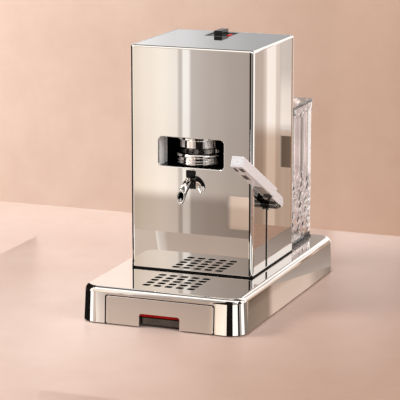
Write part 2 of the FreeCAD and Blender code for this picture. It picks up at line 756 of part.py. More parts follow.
def rocker_pin():
    """Pin that the rocker tilts on."""
    reach = KNOB_WIDTH / 2 + FIT_GAP + KNOB_PIN_SEAT
    return rod(KNOB_PIN_RADIUS, Vector(SWITCH_CENTRE_X - reach, KNOB_Y, KNOB_PIVOT_Z),
               Vector(SWITCH_CENTRE_X + reach, KNOB_Y, KNOB_PIVOT_Z))


def switch_rocker():
    """Black block-shaped rocker with softened top edges."""
    half_x = KNOB_WIDTH / 2
    half_y = KNOB_LENGTH / 2
    knob = box(SWITCH_CENTRE_X - half_x, SWITCH_CENTRE_X + half_x, KNOB_Y - half_y, KNOB_Y + half_y,
               KNOB_PIVOT_Z - KNOB_ROOT_DEPTH, KNOB_TOP)
    upper = edges_where(knob, lambda p: p.z > KNOB_TOP - 0.01)
    knob = knob.makeFillet(KNOB_EDGE_ROUND, upper)
    bore = rod(KNOB_PIN_RADIUS + RUNNING_GAP, Vector(SWITCH_CENTRE_X - half_x - 1, KNOB_Y, KNOB_PIVOT_Z),
               Vector(SWITCH_CENTRE_X + half_x + 1, KNOB_Y, KNOB_PIVOT_Z))
    return knob.cut(bore)


def switch_lamp():
    """Red indicator lens beside the rocker."""
    right = SWITCH_CENTRE_X + SWITCH_WIDTH / 2 - BEZEL_WIDTH - LAMP_GAP
    lens = box(right - LAMP_WIDTH, right, SWITCH_CENTRE_Y - LAMP_LENGTH / 2,
               SWITCH_CENTRE_Y + LAMP_LENGTH / 2, WELL_FLOOR, WELL_FLOOR + LAMP_HEIGHT)
    upper = edges_where(lens, lambda p: p.z > WELL_FLOOR + LAMP_HEIGHT - 0.01)
    return lens.makeFillet(KNOB_EDGE_ROUND, upper)


def window_lining():
    """Black moulded box behind the window, open to the front, with holes for the group."""
    outer = box(-LINING_HALF_WIDTH, LINING_HALF_WIDTH, INNER_FRONT, LINING_BACK, LINING_FLOOR, LINING_TOP)
    inner_x = LINING_HALF_WIDTH - LINING_WALL
    inner = box(-inner_x, inner_x, INNER_FRONT - 1, LINING_BACK - LINING_WALL,
                LINING_FLOOR + LINING_WALL, LINING_TOP - LINING_WALL)
    reach = OUTLET_WIDTH / 2 + 2
    floor_slot = box(-reach, reach, INNER_FRONT - 1, OUTLET_BACK + 2, LINING_FLOOR - 1,
                     LINING_FLOOR + LINING_WALL + 1)
    neck_hole = rod(HEAD_NECK_RADIUS + 1, Vector(0, GROUP_Y, LINING_TOP - LINING_WALL - 1),
                    Vector(0, GROUP_Y, LINING_TOP + 1))
    return outer.cut([inner, floor_slot, neck_hole])


def guide_cheeks():
    """Chrome cheeks at both sides of the window, each with a narrow rail behind it."""
    plates = []
    low = LINING_FLOOR + LINING_WALL
    high = LINING_TOP - LINING_WALL
    outer_x = LINING_HALF_WIDTH - LINING_WALL
    for side in (-1, 1):
        x0, x1 = sorted((side * CHEEK_INNER_X, side * outer_x))
        plates.append(box(x0, x1, INNER_FRONT, INNER_FRONT + CHEEK_DEPTH, low, high))
        plates.append(box(x0, x1, RAIL_FRONT, RAIL_BACK, low, high))
    return Part.makeCompound(plates)


def ring_section(inner, outer, low, high):
    """Plain square section of a turned ring."""
    return [(inner, low), (outer, low), (outer, high), (inner, high)]


def ring_edge(radius, low, high, bevel):
    """Outer edge of a turned ring, from its lower face to its upper, with softened corners."""
    soft = bevel / 3
    return [(radius - bevel, low), (radius - soft, low + soft), (radius, low + bevel),
            (radius, high - bevel), (radius - soft, high - soft), (radius - bevel, high)]


def pod_carrier():
    """Chromed cup for the pod, with two rings below and the outlet block under it."""
    profile = [(0, CARRIER_BOTTOM), (CARRIER_RADIUS - 2 * RING_DEPTH, CARRIER_BOTTOM)]
    for k in range(2):
        low = CARRIER_BOTTOM + RING_START + k * RING_PITCH
        profile.extend(ring_edge(CARRIER_RADIUS - (2 - k) * RING_STEP, low, low + RING_THICKNESS, RING_BEVEL))
        profile.append((CARRIER_RADIUS - RING_DEPTH, low + RING_PITCH))
    profile.extend(ring_edge(CARRIER_RADIUS, CARRIER_TOP - BEAD_HEIGHT, CARRIER_TOP, BEAD_ROUND))
    profile.extend([(POD_RADIUS + POD_LEAD_IN, CARRIER_TOP), (POD_RADIUS, CARRIER_TOP - POD_LEAD_IN),
                    (POD_RADIUS, POD_FLOOR), (SIEVE_RINGS[-1] + 2 * SIEVE_HOLE, POD_FLOOR),
                    (SPOUT_INNER, POD_FLOOR - POD_FUNNEL), (0, POD_FLOOR - POD_FUNNEL)])
    cup = turned(profile, 0, GROUP_Y)
    half = OUTLET_WIDTH / 2
    block = box(-half, half, OUTLET_FRONT, OUTLET_BACK, TAIL_BOTTOM, CARRIER_BOTTOM + 1)
    tail_half = TAIL_WIDTH / 2
    tail = box(-tail_half, tail_half, OUTLET_BACK - 1, TAIL_BACK, TAIL_BOTTOM, TAIL_BOTTOM + TAIL_THICKNESS)
    bore = rod(SPOUT_INNER, Vector(0, OUTLET_FRONT - 1, SPOUT_Z), Vector(0, GROUP_Y, SPOUT_Z))
    drop = rod(SPOUT_INNER, Vector(0, GROUP_Y, SPOUT_Z), Vector(0, GROUP_Y, POD_FLOOR))
    return cup.fuse([block, tail]).cut([bore, drop]).removeSplitter()


def carrier_filter():
    """Perforated filter disc at the bottom of the pod cup."""
    low = POD_FLOOR
    high = POD_FLOOR + FILTER_THICKNESS
    disc = rod(POD_RADIUS - SEATED_GAP, Vector(0, GROUP_Y, low), Vector(0, GROUP_Y, high))
    return disc.cut(sieve_holes(low, high))


def sieve_holes(low, high):
    """Holes on rings round the group axis, six more on each ring outwards."""
    holes = []
    for number, ring in enumerate(SIEVE_RINGS, start=1):
        count = 6 * number
        for k in range(count):
            angle = 2 * math.pi * k / count
            x = ring * math.cos(angle)
            y = GROUP_Y + ring * math.sin(angle)
            holes.append(rod(SIEVE_HOLE, Vector(x, y, low - 1), Vector(x, y, high + 1)))
    return holes


def carrier_stem():
    """Steel guide rod under the outlet block."""
    return rod(STEM_RADIUS, Vector(0, STEM_Y, STEM_BOTTOM), Vector(0, STEM_Y, TAIL_BOTTOM))


def spout_path():
    """Centre line of the spout: straight out, one bend down, a short straight end."""
    start = Vector(0, OUTLET_FRONT, SPOUT_Z)
    bend = Vector(0, SPOUT_BEND_START, SPOUT_Z)
    turn = math.radians(SPOUT_BEND_ANGLE)

    def on_bend(angle):
        return Vector(0, SPOUT_BEND_START - SPOUT_BEND_RADIUS * math.sin(angle),
                      SPOUT_Z - SPOUT_BEND_RADIUS * (1 - math.cos(angle)))

    end = on_bend(turn)
    heading = Vector(0, -math.cos(turn), -math.sin(turn))
    edges = [Part.LineSegment(start, bend).toShape(), Part.Arc(bend, on_bend(turn / 2), end).toShape(),
             Part.LineSegment(end, end + heading * 2 * SPOUT_STRAIGHT).toShape()]
    return Part.Wire(edges), end + heading * SPOUT_STRAIGHT


def spout_tube():
    """Chromed spout, cut nearly upright so that its mouth faces forwards."""
    path, mouth = spout_path()
    tube = pipe(path, SPOUT_OUTER, SPOUT_INNER)
    reach = 4 * SPOUT_OUTER
    cutter = box(-reach, reach, -reach, 0, -reach, reach)
    cutter.rotate(Vector(0, 0, 0), X_AXIS, -SPOUT_CUT_LEAN)
    cutter.translate(mouth)
    return tube.cut(cutter)


def spout_nut():
    """Hexagon nut that clamps the spout to the outlet block."""
    corners = []
    for k in range(7):
        angle = k * math.pi / 3
        corners.append(Vector(NUT_RADIUS * math.sin(angle), OUTLET_FRONT,
                              SPOUT_Z + NUT_RADIUS * math.cos(angle)))
    nut = Part.Face(Part.makePolygon(corners)).extrude(Vector(0, -NUT_LENGTH, 0))
    bore = rod(SPOUT_OUTER + RUNNING_GAP, Vector(0, OUTLET_FRONT + 1, SPOUT_Z),
               Vector(0, OUTLET_FRONT - NUT_LENGTH - 1, SPOUT_Z))
    return nut.cut(bore)


def slot_shutter():
    """Black plate that rides with the spout and keeps the slot closed."""
    front = INNER_FRONT + FIT_GAP
    plate = box(-SHUTTER_HALF_WIDTH, SHUTTER_HALF_WIDTH, front, front + SHUTTER_THICKNESS,
                SHUTTER_BOTTOM, SHUTTER_TOP)
    hole = rod(SPOUT_OUTER + RUNNING_GAP, Vector(0, front - 1, SPOUT_Z),
               Vector(0, front + SHUTTER_THICKNESS + 1, SPOUT_Z))
    return plate.cut(hole)


def group_head():
    """Stepped chromed head that the carrier closes against."""
    low = HEAD_BOTTOM
    flange = low + HEAD_HEIGHT
    groove = low + SEAL_THICKNESS - SEAL_PROUD
    ceiling = flange + HEAD_FLANGE_THICKNESS
    profile = [(0, low), (SEAL_INNER, low), (SEAL_INNER, groove), (SEAL_OUTER, groove), (SEAL_OUTER, low),
               (HEAD_RADIUS, low + HEAD_BEVEL / 2), (HEAD_RADIUS, flange)]
    profile.extend(ring_edge(HEAD_FLANGE_RADIUS, flange, ceiling, HEAD_BEVEL))
    profile.extend([(HEAD_NECK_RADIUS, ceiling), (HEAD_NECK_RADIUS, SHELF_TOP), (0, SHELF_TOP)])
    return turned(profile, 0, GROUP_Y)


def group_seal():
    """Rubber ring in the head's groove."""
    low = HEAD_BOTTOM - SEAL_PROUD
    inner = SEAL_INNER + CLOSE_GAP
    outer = SEAL_OUTER - CLOSE_GAP
    return turned(ring_section(inner, outer, low, low + SEAL_THICKNESS), 0, GROUP_Y)


def shower_screen():
    """Thin perforated steel disc under the head."""
    low = HEAD_BOTTOM - SCREEN_THICKNESS
    disc = rod(SEAL_INNER - SCREEN_INSET, Vector(0, GROUP_Y, low), Vector(0, GROUP_Y, HEAD_BOTTOM))
    return disc.cut(sieve_holes(low, HEAD_BOTTOM))


def boiler():
    """Small pressed boiler on the chassis shelf above the group."""
    low = SHELF_TOP
    high = low + BOILER_HEIGHT
    profile = [(0, low), (BOILER_FLANGE_RADIUS, low), (BOILER_FLANGE_RADIUS, low + BOILER_FLANGE),
               (BOILER_RADIUS, low + BOILER_FLANGE), (BOILER_RADIUS, high), (0, high)]
    body = turned(profile, 0, GROUP_Y)
    rim = edges_where(body, lambda p: abs(p.z - high) < 0.001 and abs(p.x) + abs(p.y - GROUP_Y) > 1)
    body = body.makeFillet(BOILER_ROUND, rim)
    fitting = rod(FITTING_RADIUS, Vector(0, GROUP_Y + BOILER_RADIUS - 4, FITTING_Z),
                  Vector(0, GROUP_Y + BOILER_RADIUS + FITTING_LENGTH, FITTING_Z))
    return body.fuse(fitting)


def heater_terminals():
    """Two spade terminals on the boiler top."""
    low = SHELF_TOP + BOILER_HEIGHT
    posts = []
    for x in (-TERMINAL_X, TERMINAL_X):
        base = low + TERMINAL_POST
        foot = rod(TERMINAL_RADIUS, Vector(x, GROUP_Y, low), Vector(x, GROUP_Y, base))
        blade = box(x - BLADE_WIDTH / 2, x + BLADE_WIDTH / 2, GROUP_Y - BLADE_THICKNESS / 2,
                    GROUP_Y + BLADE_THICKNESS / 2, base, base + BLADE_HEIGHT)
        posts.append(foot.fuse(blade))
    return Part.makeCompound(posts)


def thermostat():
    """Round thermostat between the terminals."""
    low = SHELF_TOP + BOILER_HEIGHT
    rim = low + THERMOSTAT_RIM
    inner = THERMOSTAT_RADIUS - THERMOSTAT_RIM
    top = low + THERMOSTAT_HEIGHT
    profile = [(0, low), (THERMOSTAT_RADIUS, low), (THERMOSTAT_RADIUS, rim), (inner, rim), (inner, top),
               (0, top)]
    return turned(profile, 0, GROUP_Y)


def chassis():
    """Bent steel bracket: foot, upright plate, shelf under the boiler and two shaft ears."""
    half = CHASSIS_HALF_WIDTH
    back = CHASSIS_Y + CHASSIS_SHEET
    foot = box(-half, half, CHASSIS_Y, CHASSIS_FOOT_BACK, BASE_TOP, BASE_TOP + CHASSIS_SHEET)
    plate = box(-half, half, CHASSIS_Y, back, BASE_TOP, SHELF_TOP)
    shelf = box(-half, half, INNER_FRONT + 1, back, SHELF_BOTTOM, SHELF_TOP)
    parts = [plate, shelf]
    cuts = [rod(HEAD_NECK_RADIUS + SEATED_GAP, Vector(0, GROUP_Y, SHELF_BOTTOM - 1),
                Vector(0, GROUP_Y, SHELF_TOP + 1)),
            rod(HOSE_OUTER + 3, Vector(PUMP_X, PUMP_Y, BASE_TOP - 1),
                Vector(PUMP_X, PUMP_Y, BASE_TOP + CHASSIS_SHEET + 1))]
    for side in (-1, 1):
        x0, x1 = sorted((side * EAR_X, side * (EAR_X + CHASSIS_SHEET)))
        parts.append(box(x0, x1, EAR_FRONT, CHASSIS_Y + 1, EAR_BOTTOM, SHELF_TOP))
        cuts.append(rod(BUSH_RADIUS + SEATED_GAP, Vector(x0 - 1, PIVOT_Y, PIVOT_Z),
                        Vector(x1 + 1, PIVOT_Y, PIVOT_Z)))
    return foot.fuse(parts).cut(cuts).removeSplitter()


def chassis_screws():
    """Four screws through the chassis foot into the base top."""
    screws = []
    low = BASE_TOP + CHASSIS_SHEET
    reach = CHASSIS_HALF_WIDTH - CHASSIS_SCREW_INSET
    for x in (-reach, reach):
        for y in (CHASSIS_Y + CHASSIS_SCREW_FRONT, CHASSIS_FOOT_BACK - CHASSIS_SCREW_INSET):
            screws.append(rod(PAN_HEAD_RADIUS, Vector(x, y, low), Vector(x, y, low + PAN_HEAD_HEIGHT)))
    return Part.makeCompound(screws)


def carrier_guide():
    """Block on the chassis plate that guides the carrier's stem."""
    half = GUIDE_HALF_WIDTH
    block = box(-half, half, GUIDE_FRONT, CHASSIS_Y, GUIDE_BOTTOM, GUIDE_TOP)
    relief_half = half - GUIDE_WALL
    relief = box(-relief_half, relief_half, STEM_Y + STEM_RADIUS + GUIDE_WALL, CHASSIS_Y - GUIDE_WALL,
                 GUIDE_BOTTOM - 1, GUIDE_TOP + 1)
    bore = rod(STEM_RADIUS + RUNNING_GAP, Vector(0, STEM_Y, GUIDE_BOTTOM - 1),
               Vector(0, STEM_Y, GUIDE_TOP + 1))
    return block.cut([relief, bore])


def shaft_bushings():
    """Flanged plain bushings in the chassis ears."""
    bushes = []
    for side in (-1, 1):
        inner = side * (EAR_X - 3)
        face = side * EAR_X
        outer = side * (EAR_X + CHASSIS_SHEET + 3)
        neck = rod(BUSH_RADIUS, Vector(inner, PIVOT_Y, PIVOT_Z), Vector(outer, PIVOT_Y, PIVOT_Z))
        flange = rod(BUSH_FLANGE_RADIUS, Vector(inner, PIVOT_Y, PIVOT_Z), Vector(face, PIVOT_Y, PIVOT_Z))
        bore = rod(SHAFT_RADIUS + RUNNING_GAP, Vector(inner - 5 * side, PIVOT_Y, PIVOT_Z),
                   Vector(outer + 5 * side, PIVOT_Y, PIVOT_Z))
        bushes.append(neck.fuse(flange).cut(bore))
    return Part.makeCompound(bushes)


def panel_bush():
    """Black flanged bush where the shaft leaves the right side."""
    inner = Vector(INNER_HALF - 4, PIVOT_Y, PIVOT_Z)
    face = Vector(BODY_HALF, PIVOT_Y, PIVOT_Z)
    outer = Vector(BODY_HALF + BUSH_FLANGE, PIVOT_Y, PIVOT_Z)
    neck = rod(BUSH_RADIUS, inner, face)
    flange = rod(BUSH_FLANGE_RADIUS, face, outer)
    bore = rod(SHAFT_RADIUS + RUNNING_GAP, inner - X_AXIS, outer + X_AXIS)
    return neck.fuse(flange).cut(bore)


def lever_shaft():
    """Steel shaft from the left ear to the lever arm."""
    return rod(SHAFT_RADIUS, Vector(SHAFT_LEFT, PIVOT_Y, PIVOT_Z),
               Vector(arm_outer_x() - 1, PIVOT_Y, PIVOT_Z))


def arm_inner_x():
    """Inner face of the metal arm, inside the grip's wall."""
    return LEVER_INNER_X + GRIP_WALL + ARM_SIDE_GAP


def arm_outer_x():
    """Outer face of the metal arm, inside the grip's outer wall."""
    return LEVER_OUTER_X - GRIP_WALL - ARM_OUTER_GAP


def lift_cam():
    """Cam whose working edge is the involute that lifts a flat follower at a steady rate."""
    margin = math.radians(CAM_MARGIN_ANGLE)
    first = CAM_LIFT_START / CAM_RATE - margin
    last = (CAM_LIFT_START + CARRIER_LIFT) / CAM_RATE + margin
    points = []
    for k in range(CAM_STEPS + 1):
        t = first + (last - first) * k / CAM_STEPS
        normal_angle = math.pi / 2 + (t - CAM_LIFT_START / CAM_RATE)
        height = CAM_RATE * t
        y = height * math.cos(normal_angle) - CAM_RATE * math.sin(normal_angle)
        z = height * math.sin(normal_angle) + CAM_RATE * math.cos(normal_angle)
        points.append(Vector(-CAM_HALF_WIDTH, PIVOT_Y - y, PIVOT_Z + z))
    curve = Part.BSplineCurve()
    curve.interpolate(points)
    centre = Vector(-CAM_HALF_WIDTH, PIVOT_Y, PIVOT_Z)
    sides = [Part.LineSegment(points[-1], centre).toShape(), Part.LineSegment(centre, points[0]).toShape()]
    lobe = Part.Face(Part.Wire([curve.toShape()] + sides)).extrude(Vector(2 * CAM_HALF_WIDTH, 0, 0))
    hub = rod(CAM_HUB_RADIUS, centre, centre + X_AXIS * 2 * CAM_HALF_WIDTH)
    bore = rod(SHAFT_RADIUS + SHAFT_FIT, centre - X_AXIS, centre + X_AXIS * (2 * CAM_HALF_WIDTH + 1))
    return lobe.fuse(hub).cut(bore).removeSplitter()


def shaft_collar():
    """Collar that keeps the shaft from moving sideways."""
    left = -EAR_X - CHASSIS_SHEET - 3 - FIT_GAP
    start = Vector(left - COLLAR_LENGTH, PIVOT_Y, PIVOT_Z)
    end = Vector(left, PIVOT_Y, PIVOT_Z)
    bore = rod(SHAFT_RADIUS + SHAFT_FIT, start - X_AXIS, end + X_AXIS)
    return rod(CAM_HUB_RADIUS, start, end).cut(bore)


def lever_hub():
    """Chromed hub between the side panel and the lever, with a tapped hole for its screw."""
    start = Vector(HUB_START_X, 0, 0)
    end = Vector(arm_inner_x(), 0, 0)
    hub = rod(HUB_RADIUS, start, end)
    middle = (HUB_START_X + arm_inner_x()) / 2
    tapped = rod(TAPPED_RADIUS, Vector(middle, 0, 0), Vector(middle, 0, -HUB_RADIUS - 1))
    bore = rod(SHAFT_RADIUS + SHAFT_FIT, start - X_AXIS, end + X_AXIS)
    return lever_turn(hub.cut([bore, tapped]))


def hub_screw():
    """Set screw in the hub, its end standing a little below."""
    middle = (HUB_START_X + arm_inner_x()) / 2
    low = -HUB_RADIUS - SET_SCREW_PROUD
    shank = rod(TAPPED_RADIUS - SEATED_GAP, Vector(middle, 0, -SHAFT_RADIUS - FIT_GAP),
                Vector(middle, 0, -HUB_RADIUS))
    head = rod(SET_SCREW_RADIUS, Vector(middle, 0, -HUB_RADIUS), Vector(middle, 0, low))
    return lever_turn(shank.fuse(head))


def arm_top_n():
    """Upper face of the metal arm, under the grip's roof."""
    return GRIP_TOP_N - GRIP_WALL - ARM_CLEARANCE


def arm_end_radius():
    """Radius of the arm's upper end, inside the grip's round end."""
    return BOSS_END_RADIUS - BOSS_WALL - ARM_CLEARANCE


def lever_arm():
    """Steel bar from the shaft into the grip's channel, with a deeper eye below."""
    x0 = arm_inner_x()
    x1 = arm_outer_x()
    last = CHANNEL_END_S - ARM_CLEARANCE
    first = GRIP_START_S + GRIP_WALL + ARM_CLEARANCE
    low = BOSS_SKIRT_N - ARM_CLEARANCE
    bar = lever_box(x0, x1, 0, last, ARM_UNDERSIDE_N, arm_end_radius())
    top = lever_box(x0, x1, first, last, ARM_UNDERSIDE_N, arm_top_n())
    web = lever_box(x0, x1, 0, GRIP_START_S + BOSS_OVERLAP, low, ARM_UNDERSIDE_N)
    eye = rod(arm_end_radius(), Vector(x0, 0, 0), Vector(x1, 0, 0))
    foot = rod(ARM_LOW_RADIUS, Vector(x0, 0, 0), Vector(x1, 0, 0))
    outer_rim = edges_where(foot, lambda p: abs(p.x - x1) < 0.001)
    foot = foot.makeChamfer(ARM_LOW_CHAMFER, outer_rim)
    foot = foot.common(lever_box(x0, x1, -ARM_LOW_RADIUS, ARM_LOW_RADIUS, -ARM_LOW_RADIUS, low))
    bore = rod(SHAFT_RADIUS + SHAFT_FIT, Vector(x0 - 1, 0, 0), Vector(x1 + 1, 0, 0))
    return lever_turn(bar.fuse([top, web, eye, foot]).cut(bore).removeSplitter())


def lever_grip():
    """White moulded handle: a bar with a round end over the arm, and a channel below it."""
    bar = lever_box(LEVER_INNER_X, LEVER_OUTER_X, GRIP_START_S, GRIP_END_S, GRIP_BOTTOM_N, GRIP_TOP_N)
    bar = bar.makeFillet(GRIP_EDGE_ROUND, bar.Edges)
    outer_x = LEVER_OUTER_X - BOSS_RECESS
    boss = rod(BOSS_END_RADIUS, Vector(BOSS_INNER_X, 0, 0), Vector(outer_x, 0, 0))
    run = GRIP_START_S + BOSS_OVERLAP
    boss = boss.fuse(lever_box(BOSS_INNER_X, outer_x, 0, run, -BOSS_END_RADIUS, BOSS_END_RADIUS))
    boss = boss.removeSplitter()
    rim = edges_where(boss, lambda p: p.x > outer_x - 0.001)
    boss = boss.makeFillet(BOSS_WALL, [edge for edge in rim if edge.BoundBox.YMax > -run + 1])
    below = lever_box(BOSS_INNER_X - 1, outer_x + 1, -2 * BOSS_END_RADIUS, run + 1,
                      -2 * BOSS_END_RADIUS, BOSS_SKIRT_N)
    boss = boss.cut(below)
    cuts = [grip_channel(), grip_throat(), cap_socket()]
    cuts.extend(lever_box(x0, x1, s0, s1, GRIP_BOTTOM_N - 1, GRIP_BOTTOM_N + POCKET_DEPTH)
                for x0, x1, s0, s1 in pocket_places())
    return lever_turn(bar.fuse(boss).cut(cuts).removeSplitter())


def grip_channel():
    """Space for the metal arm along the grip's underside."""
    x0 = arm_inner_x() - ARM_CLEARANCE
    x1 = arm_outer_x() + ARM_CLEARANCE
    return lever_box(x0, x1, GRIP_START_S + GRIP_WALL, CHANNEL_END_S, BOSS_SKIRT_N - 1,
                     GRIP_TOP_N - GRIP_WALL)


def grip_throat():
    """Space for the metal arm inside the grip's round end, open to the hub."""
    x1 = arm_outer_x() + ARM_CLEARANCE
    radius = arm_end_radius() + ARM_CLEARANCE
    eye = rod(radius, Vector(LEVER_INNER_X - 1, 0, 0), Vector(x1, 0, 0))
    run = lever_box(LEVER_INNER_X + GRIP_WALL, x1, 0, GRIP_START_S + GRIP_WALL + 1,
                    BOSS_SKIRT_N - 1, radius)
    return eye.fuse(run)


def cap_socket():
    """Recess for the end cap in the grip's tip."""
    return lever_box(LEVER_INNER_X + CAP_INSET, LEVER_OUTER_X - CAP_INSET, GRIP_END_S - CAP_DEPTH,
                     GRIP_END_S + 1, GRIP_BOTTOM_N + CAP_INSET, GRIP_TOP_N - CAP_INSET)


def pocket_places():
    """Moulded pockets under the grip, as (x0, x1, s0, s1)."""
    inner = LEVER_INNER_X + GRIP_WALL
    outer = LEVER_OUTER_X - GRIP_WALL - ARM_OUTER_GAP
    tip = GRIP_END_S - TIP_POCKET_MARGIN
    middle = GRIP_END_S - MID_POCKET_MARGIN
    return [(inner, inner + TIP_POCKET_INNER, tip - TIP_POCKET_LENGTH, tip),
            (outer - TIP_POCKET_OUTER, outer, tip - TIP_POCKET_LENGTH, tip),
            (inner + ARM_OUTER_GAP, inner + ARM_OUTER_GAP + MID_POCKET_WIDTH,
             middle - MID_POCKET_LENGTH, middle)]


def lever_end_cap():
    """Square plug in the lever's tip with a small centre dimple."""
    x0 = LEVER_INNER_X + CAP_INSET + CAP_CLEARANCE
    x1 = LEVER_OUTER_X - CAP_INSET - CAP_CLEARANCE
    n0 = GRIP_BOTTOM_N + CAP_INSET + CAP_CLEARANCE
    n1 = GRIP_TOP_N - CAP_INSET - CAP_CLEARANCE
    plug = lever_box(x0, x1, GRIP_END_S - CAP_DEPTH, GRIP_END_S + CAP_PROUD, n0, n1)
    bottom = Vector((x0 + x1) / 2, -GRIP_END_S - CAP_PROUD + CAP_DIMPLE, (n0 + n1) / 2)
    dimple = Part.makeCone(CAP_DIMPLE / 4, CAP_DIMPLE, CAP_DIMPLE, bottom, Vector(0, -1, 0))
    return lever_turn(plug.cut(dimple))


def pump_profile():
    """Outline of the pump's round parts, as (radius, height)."""
    z = PUMP_BOTTOM
    end = z + PUMP_NOZZLE + PUMP_END
    coil = end + PUMP_COIL_HEIGHT
    top = coil + PUMP_END
    return [(0, z), (PUMP_NOZZLE_RADIUS, z), (PUMP_NOZZLE_RADIUS, z + PUMP_NOZZLE),
            (PUMP_END_RADIUS, z + PUMP_NOZZLE), (PUMP_END_RADIUS, end), (PUMP_END_RADIUS, coil),
            (PUMP_END_RADIUS, top), (PUMP_NOZZLE_RADIUS, top), (PUMP_NOZZLE_RADIUS, top + PUMP_NOZZLE),
            (0, top + PUMP_NOZZLE)]


def pump_top():
    """Height of the pump's upper nozzle end."""
    return pump_profile()[-1][1]


def pump():
    """Vibrating pump with a square coil block and a nozzle at each end."""
    body = turned(pump_profile(), PUMP_X, PUMP_Y)
    half = PUMP_COIL / 2
    low = PUMP_BOTTOM + PUMP_NOZZLE + PUMP_END
    flat = half - PUMP_COIL_FLAT
    coil = rounded_block(PUMP_X - half, PUMP_X + half, PUMP_Y - flat, PUMP_Y + flat,
                         low, low + PUMP_COIL_HEIGHT, PUMP_COIL_RADIUS)
    return body.fuse(coil).removeSplitter()


def mount_heights():
    """Heights of the two rubber rings round the pump's ends."""
    low = PUMP_BOTTOM + PUMP_NOZZLE + (PUMP_END - MOUNT_HEIGHT) / 2
    return [low, low + PUMP_END + PUMP_COIL_HEIGHT]


def pump_mounts():
    """Rubber rings that carry the pump."""
    rings = []
    for z in mount_heights():
        section = ring_section(PUMP_END_RADIUS + CLOSE_GAP, MOUNT_RADIUS, z, z + MOUNT_HEIGHT)
        rings.append(turned(section, PUMP_X, PUMP_Y))
    return Part.makeCompound(rings)


def pump_brackets():
    """Two shelves on the chassis plate that hold the rubber rings."""
    shelves = []
    start = CHASSIS_Y + CHASSIS_SHEET
    reach = MOUNT_RADIUS + SHELF_REACH
    half = CHASSIS_SHEET / 2
    for z in mount_heights():
        middle = z + MOUNT_HEIGHT / 2
        shelf = box(PUMP_X - reach, PUMP_X + reach, start, PUMP_Y + reach, middle - half, middle + half)
        tab = box(PUMP_X - reach, PUMP_X + reach, start, start + CHASSIS_SHEET, middle - half,
                  middle + SHELF_TAB)
        hole = rod(MOUNT_RADIUS + CLOSE_GAP, Vector(PUMP_X, PUMP_Y, z - 1),
                   Vector(PUMP_X, PUMP_Y, z + MOUNT_HEIGHT + 1))
        shelves.append(shelf.fuse(tab).cut(hole).removeSplitter())
    return Part.makeCompound(shelves)


def water_hose():
    """Hose from the tank socket's barb under the base top and up to the pump."""
    start = Vector(VALVE_X, VALVE_Y - SOCKET_RADIUS - BARB_LENGTH, BARB_Z)
    corner = Vector(PUMP_X, PUMP_Y, BARB_Z)
    end = Vector(PUMP_X, PUMP_Y, PUMP_BOTTOM)
    return pipe(bent_path([start, corner, end], HOSE_BEND), HOSE_OUTER, HOSE_INNER)


def pressure_hose():
    """Hose from the pump over the chassis to the boiler's rear fitting."""
    height = FITTING_Z
    start = Vector(PUMP_X, PUMP_Y, pump_top())
    corners = [start, Vector(PUMP_X, PUMP_Y, height), Vector(0, PUMP_Y, height),
               Vector(0, GROUP_Y + BOILER_RADIUS + FITTING_LENGTH, height)]
    return pipe(bent_path(corners, HOSE_BEND), HOSE_OUTER, HOSE_INNER)


def tank_seat():
    """Low rimmed tray that the tank stands in, with the valve socket below it."""
    gap = SEAT_GAP
    outer = rounded_block(-TANK_HALF_WIDTH - gap - SEAT_WALL, TANK_HALF_WIDTH + gap + SEAT_WALL,
                          TANK_FRONT - gap - SEAT_WALL, TANK_BACK + gap + SEAT_WALL,
                          BASE_TOP, BASE_TOP + SEAT_HEIGHT, TANK_RADIUS + gap + SEAT_WALL)
    half = TANK_HALF_WIDTH + gap
    inner = rounded_block(-half, half, TANK_FRONT - gap, TANK_BACK + gap, BASE_TOP + SEAT_FLOOR,
                          BASE_TOP + SEAT_HEIGHT + 1, TANK_RADIUS + gap)
    socket = rod(SOCKET_RADIUS, Vector(VALVE_X, VALVE_Y, SOCKET_BOTTOM),
                 Vector(VALVE_X, VALVE_Y, BASE_TOP + 1))
    bore = rod(VALVE_RADIUS + SOCKET_GAP, Vector(VALVE_X, VALVE_Y, TANK_BOTTOM - VALVE_LENGTH - 1),
               Vector(VALVE_X, VALVE_Y, BASE_TOP + SEAT_HEIGHT + 1))
    duct = rod(HOSE_INNER, Vector(VALVE_X, VALVE_Y, BARB_Z), Vector(VALVE_X, VALVE_Y, TANK_BOTTOM))
    barb = rod(HOSE_OUTER, Vector(VALVE_X, VALVE_Y, BARB_Z),
               Vector(VALVE_X, VALVE_Y - SOCKET_RADIUS - BARB_LENGTH, BARB_Z))
    barb_duct = rod(HOSE_INNER, Vector(VALVE_X, VALVE_Y, BARB_Z),
                    Vector(VALVE_X, VALVE_Y - SOCKET_RADIUS - BARB_LENGTH - 1, BARB_Z))
    return outer.cut(inner).fuse([socket, barb]).cut([bore, duct, barb_duct]).removeSplitter()


def tank_block(inset, z0, z1):
    """Block on the tank's outline, inset all round, or larger where inset is below zero."""
    half = TANK_HALF_WIDTH - inset
    return rounded_block(-half, half, TANK_FRONT + inset, TANK_BACK - inset, z0, z1, TANK_RADIUS - inset)


def water_tank():
    """Clear moulded tank with a thicker lip round the top."""
    outer = tank_block(0, TANK_BOTTOM, TANK_TOP)
    lip = tank_block(-TANK_LIP_PROUD, TANK_TOP - TANK_LIP, TANK_TOP)
    inner = tank_block(TANK_WALL, TANK_BOTTOM + TANK_WALL, TANK_TOP + 1)
    hole = rod(VALVE_RADIUS - VALVE_NECK, Vector(VALVE_X, VALVE_Y, TANK_BOTTOM - 1),
               Vector(VALVE_X, VALVE_Y, TANK_BOTTOM + TANK_WALL + 1))
    return outer.fuse(lip).cut([inner, hole]).removeSplitter()


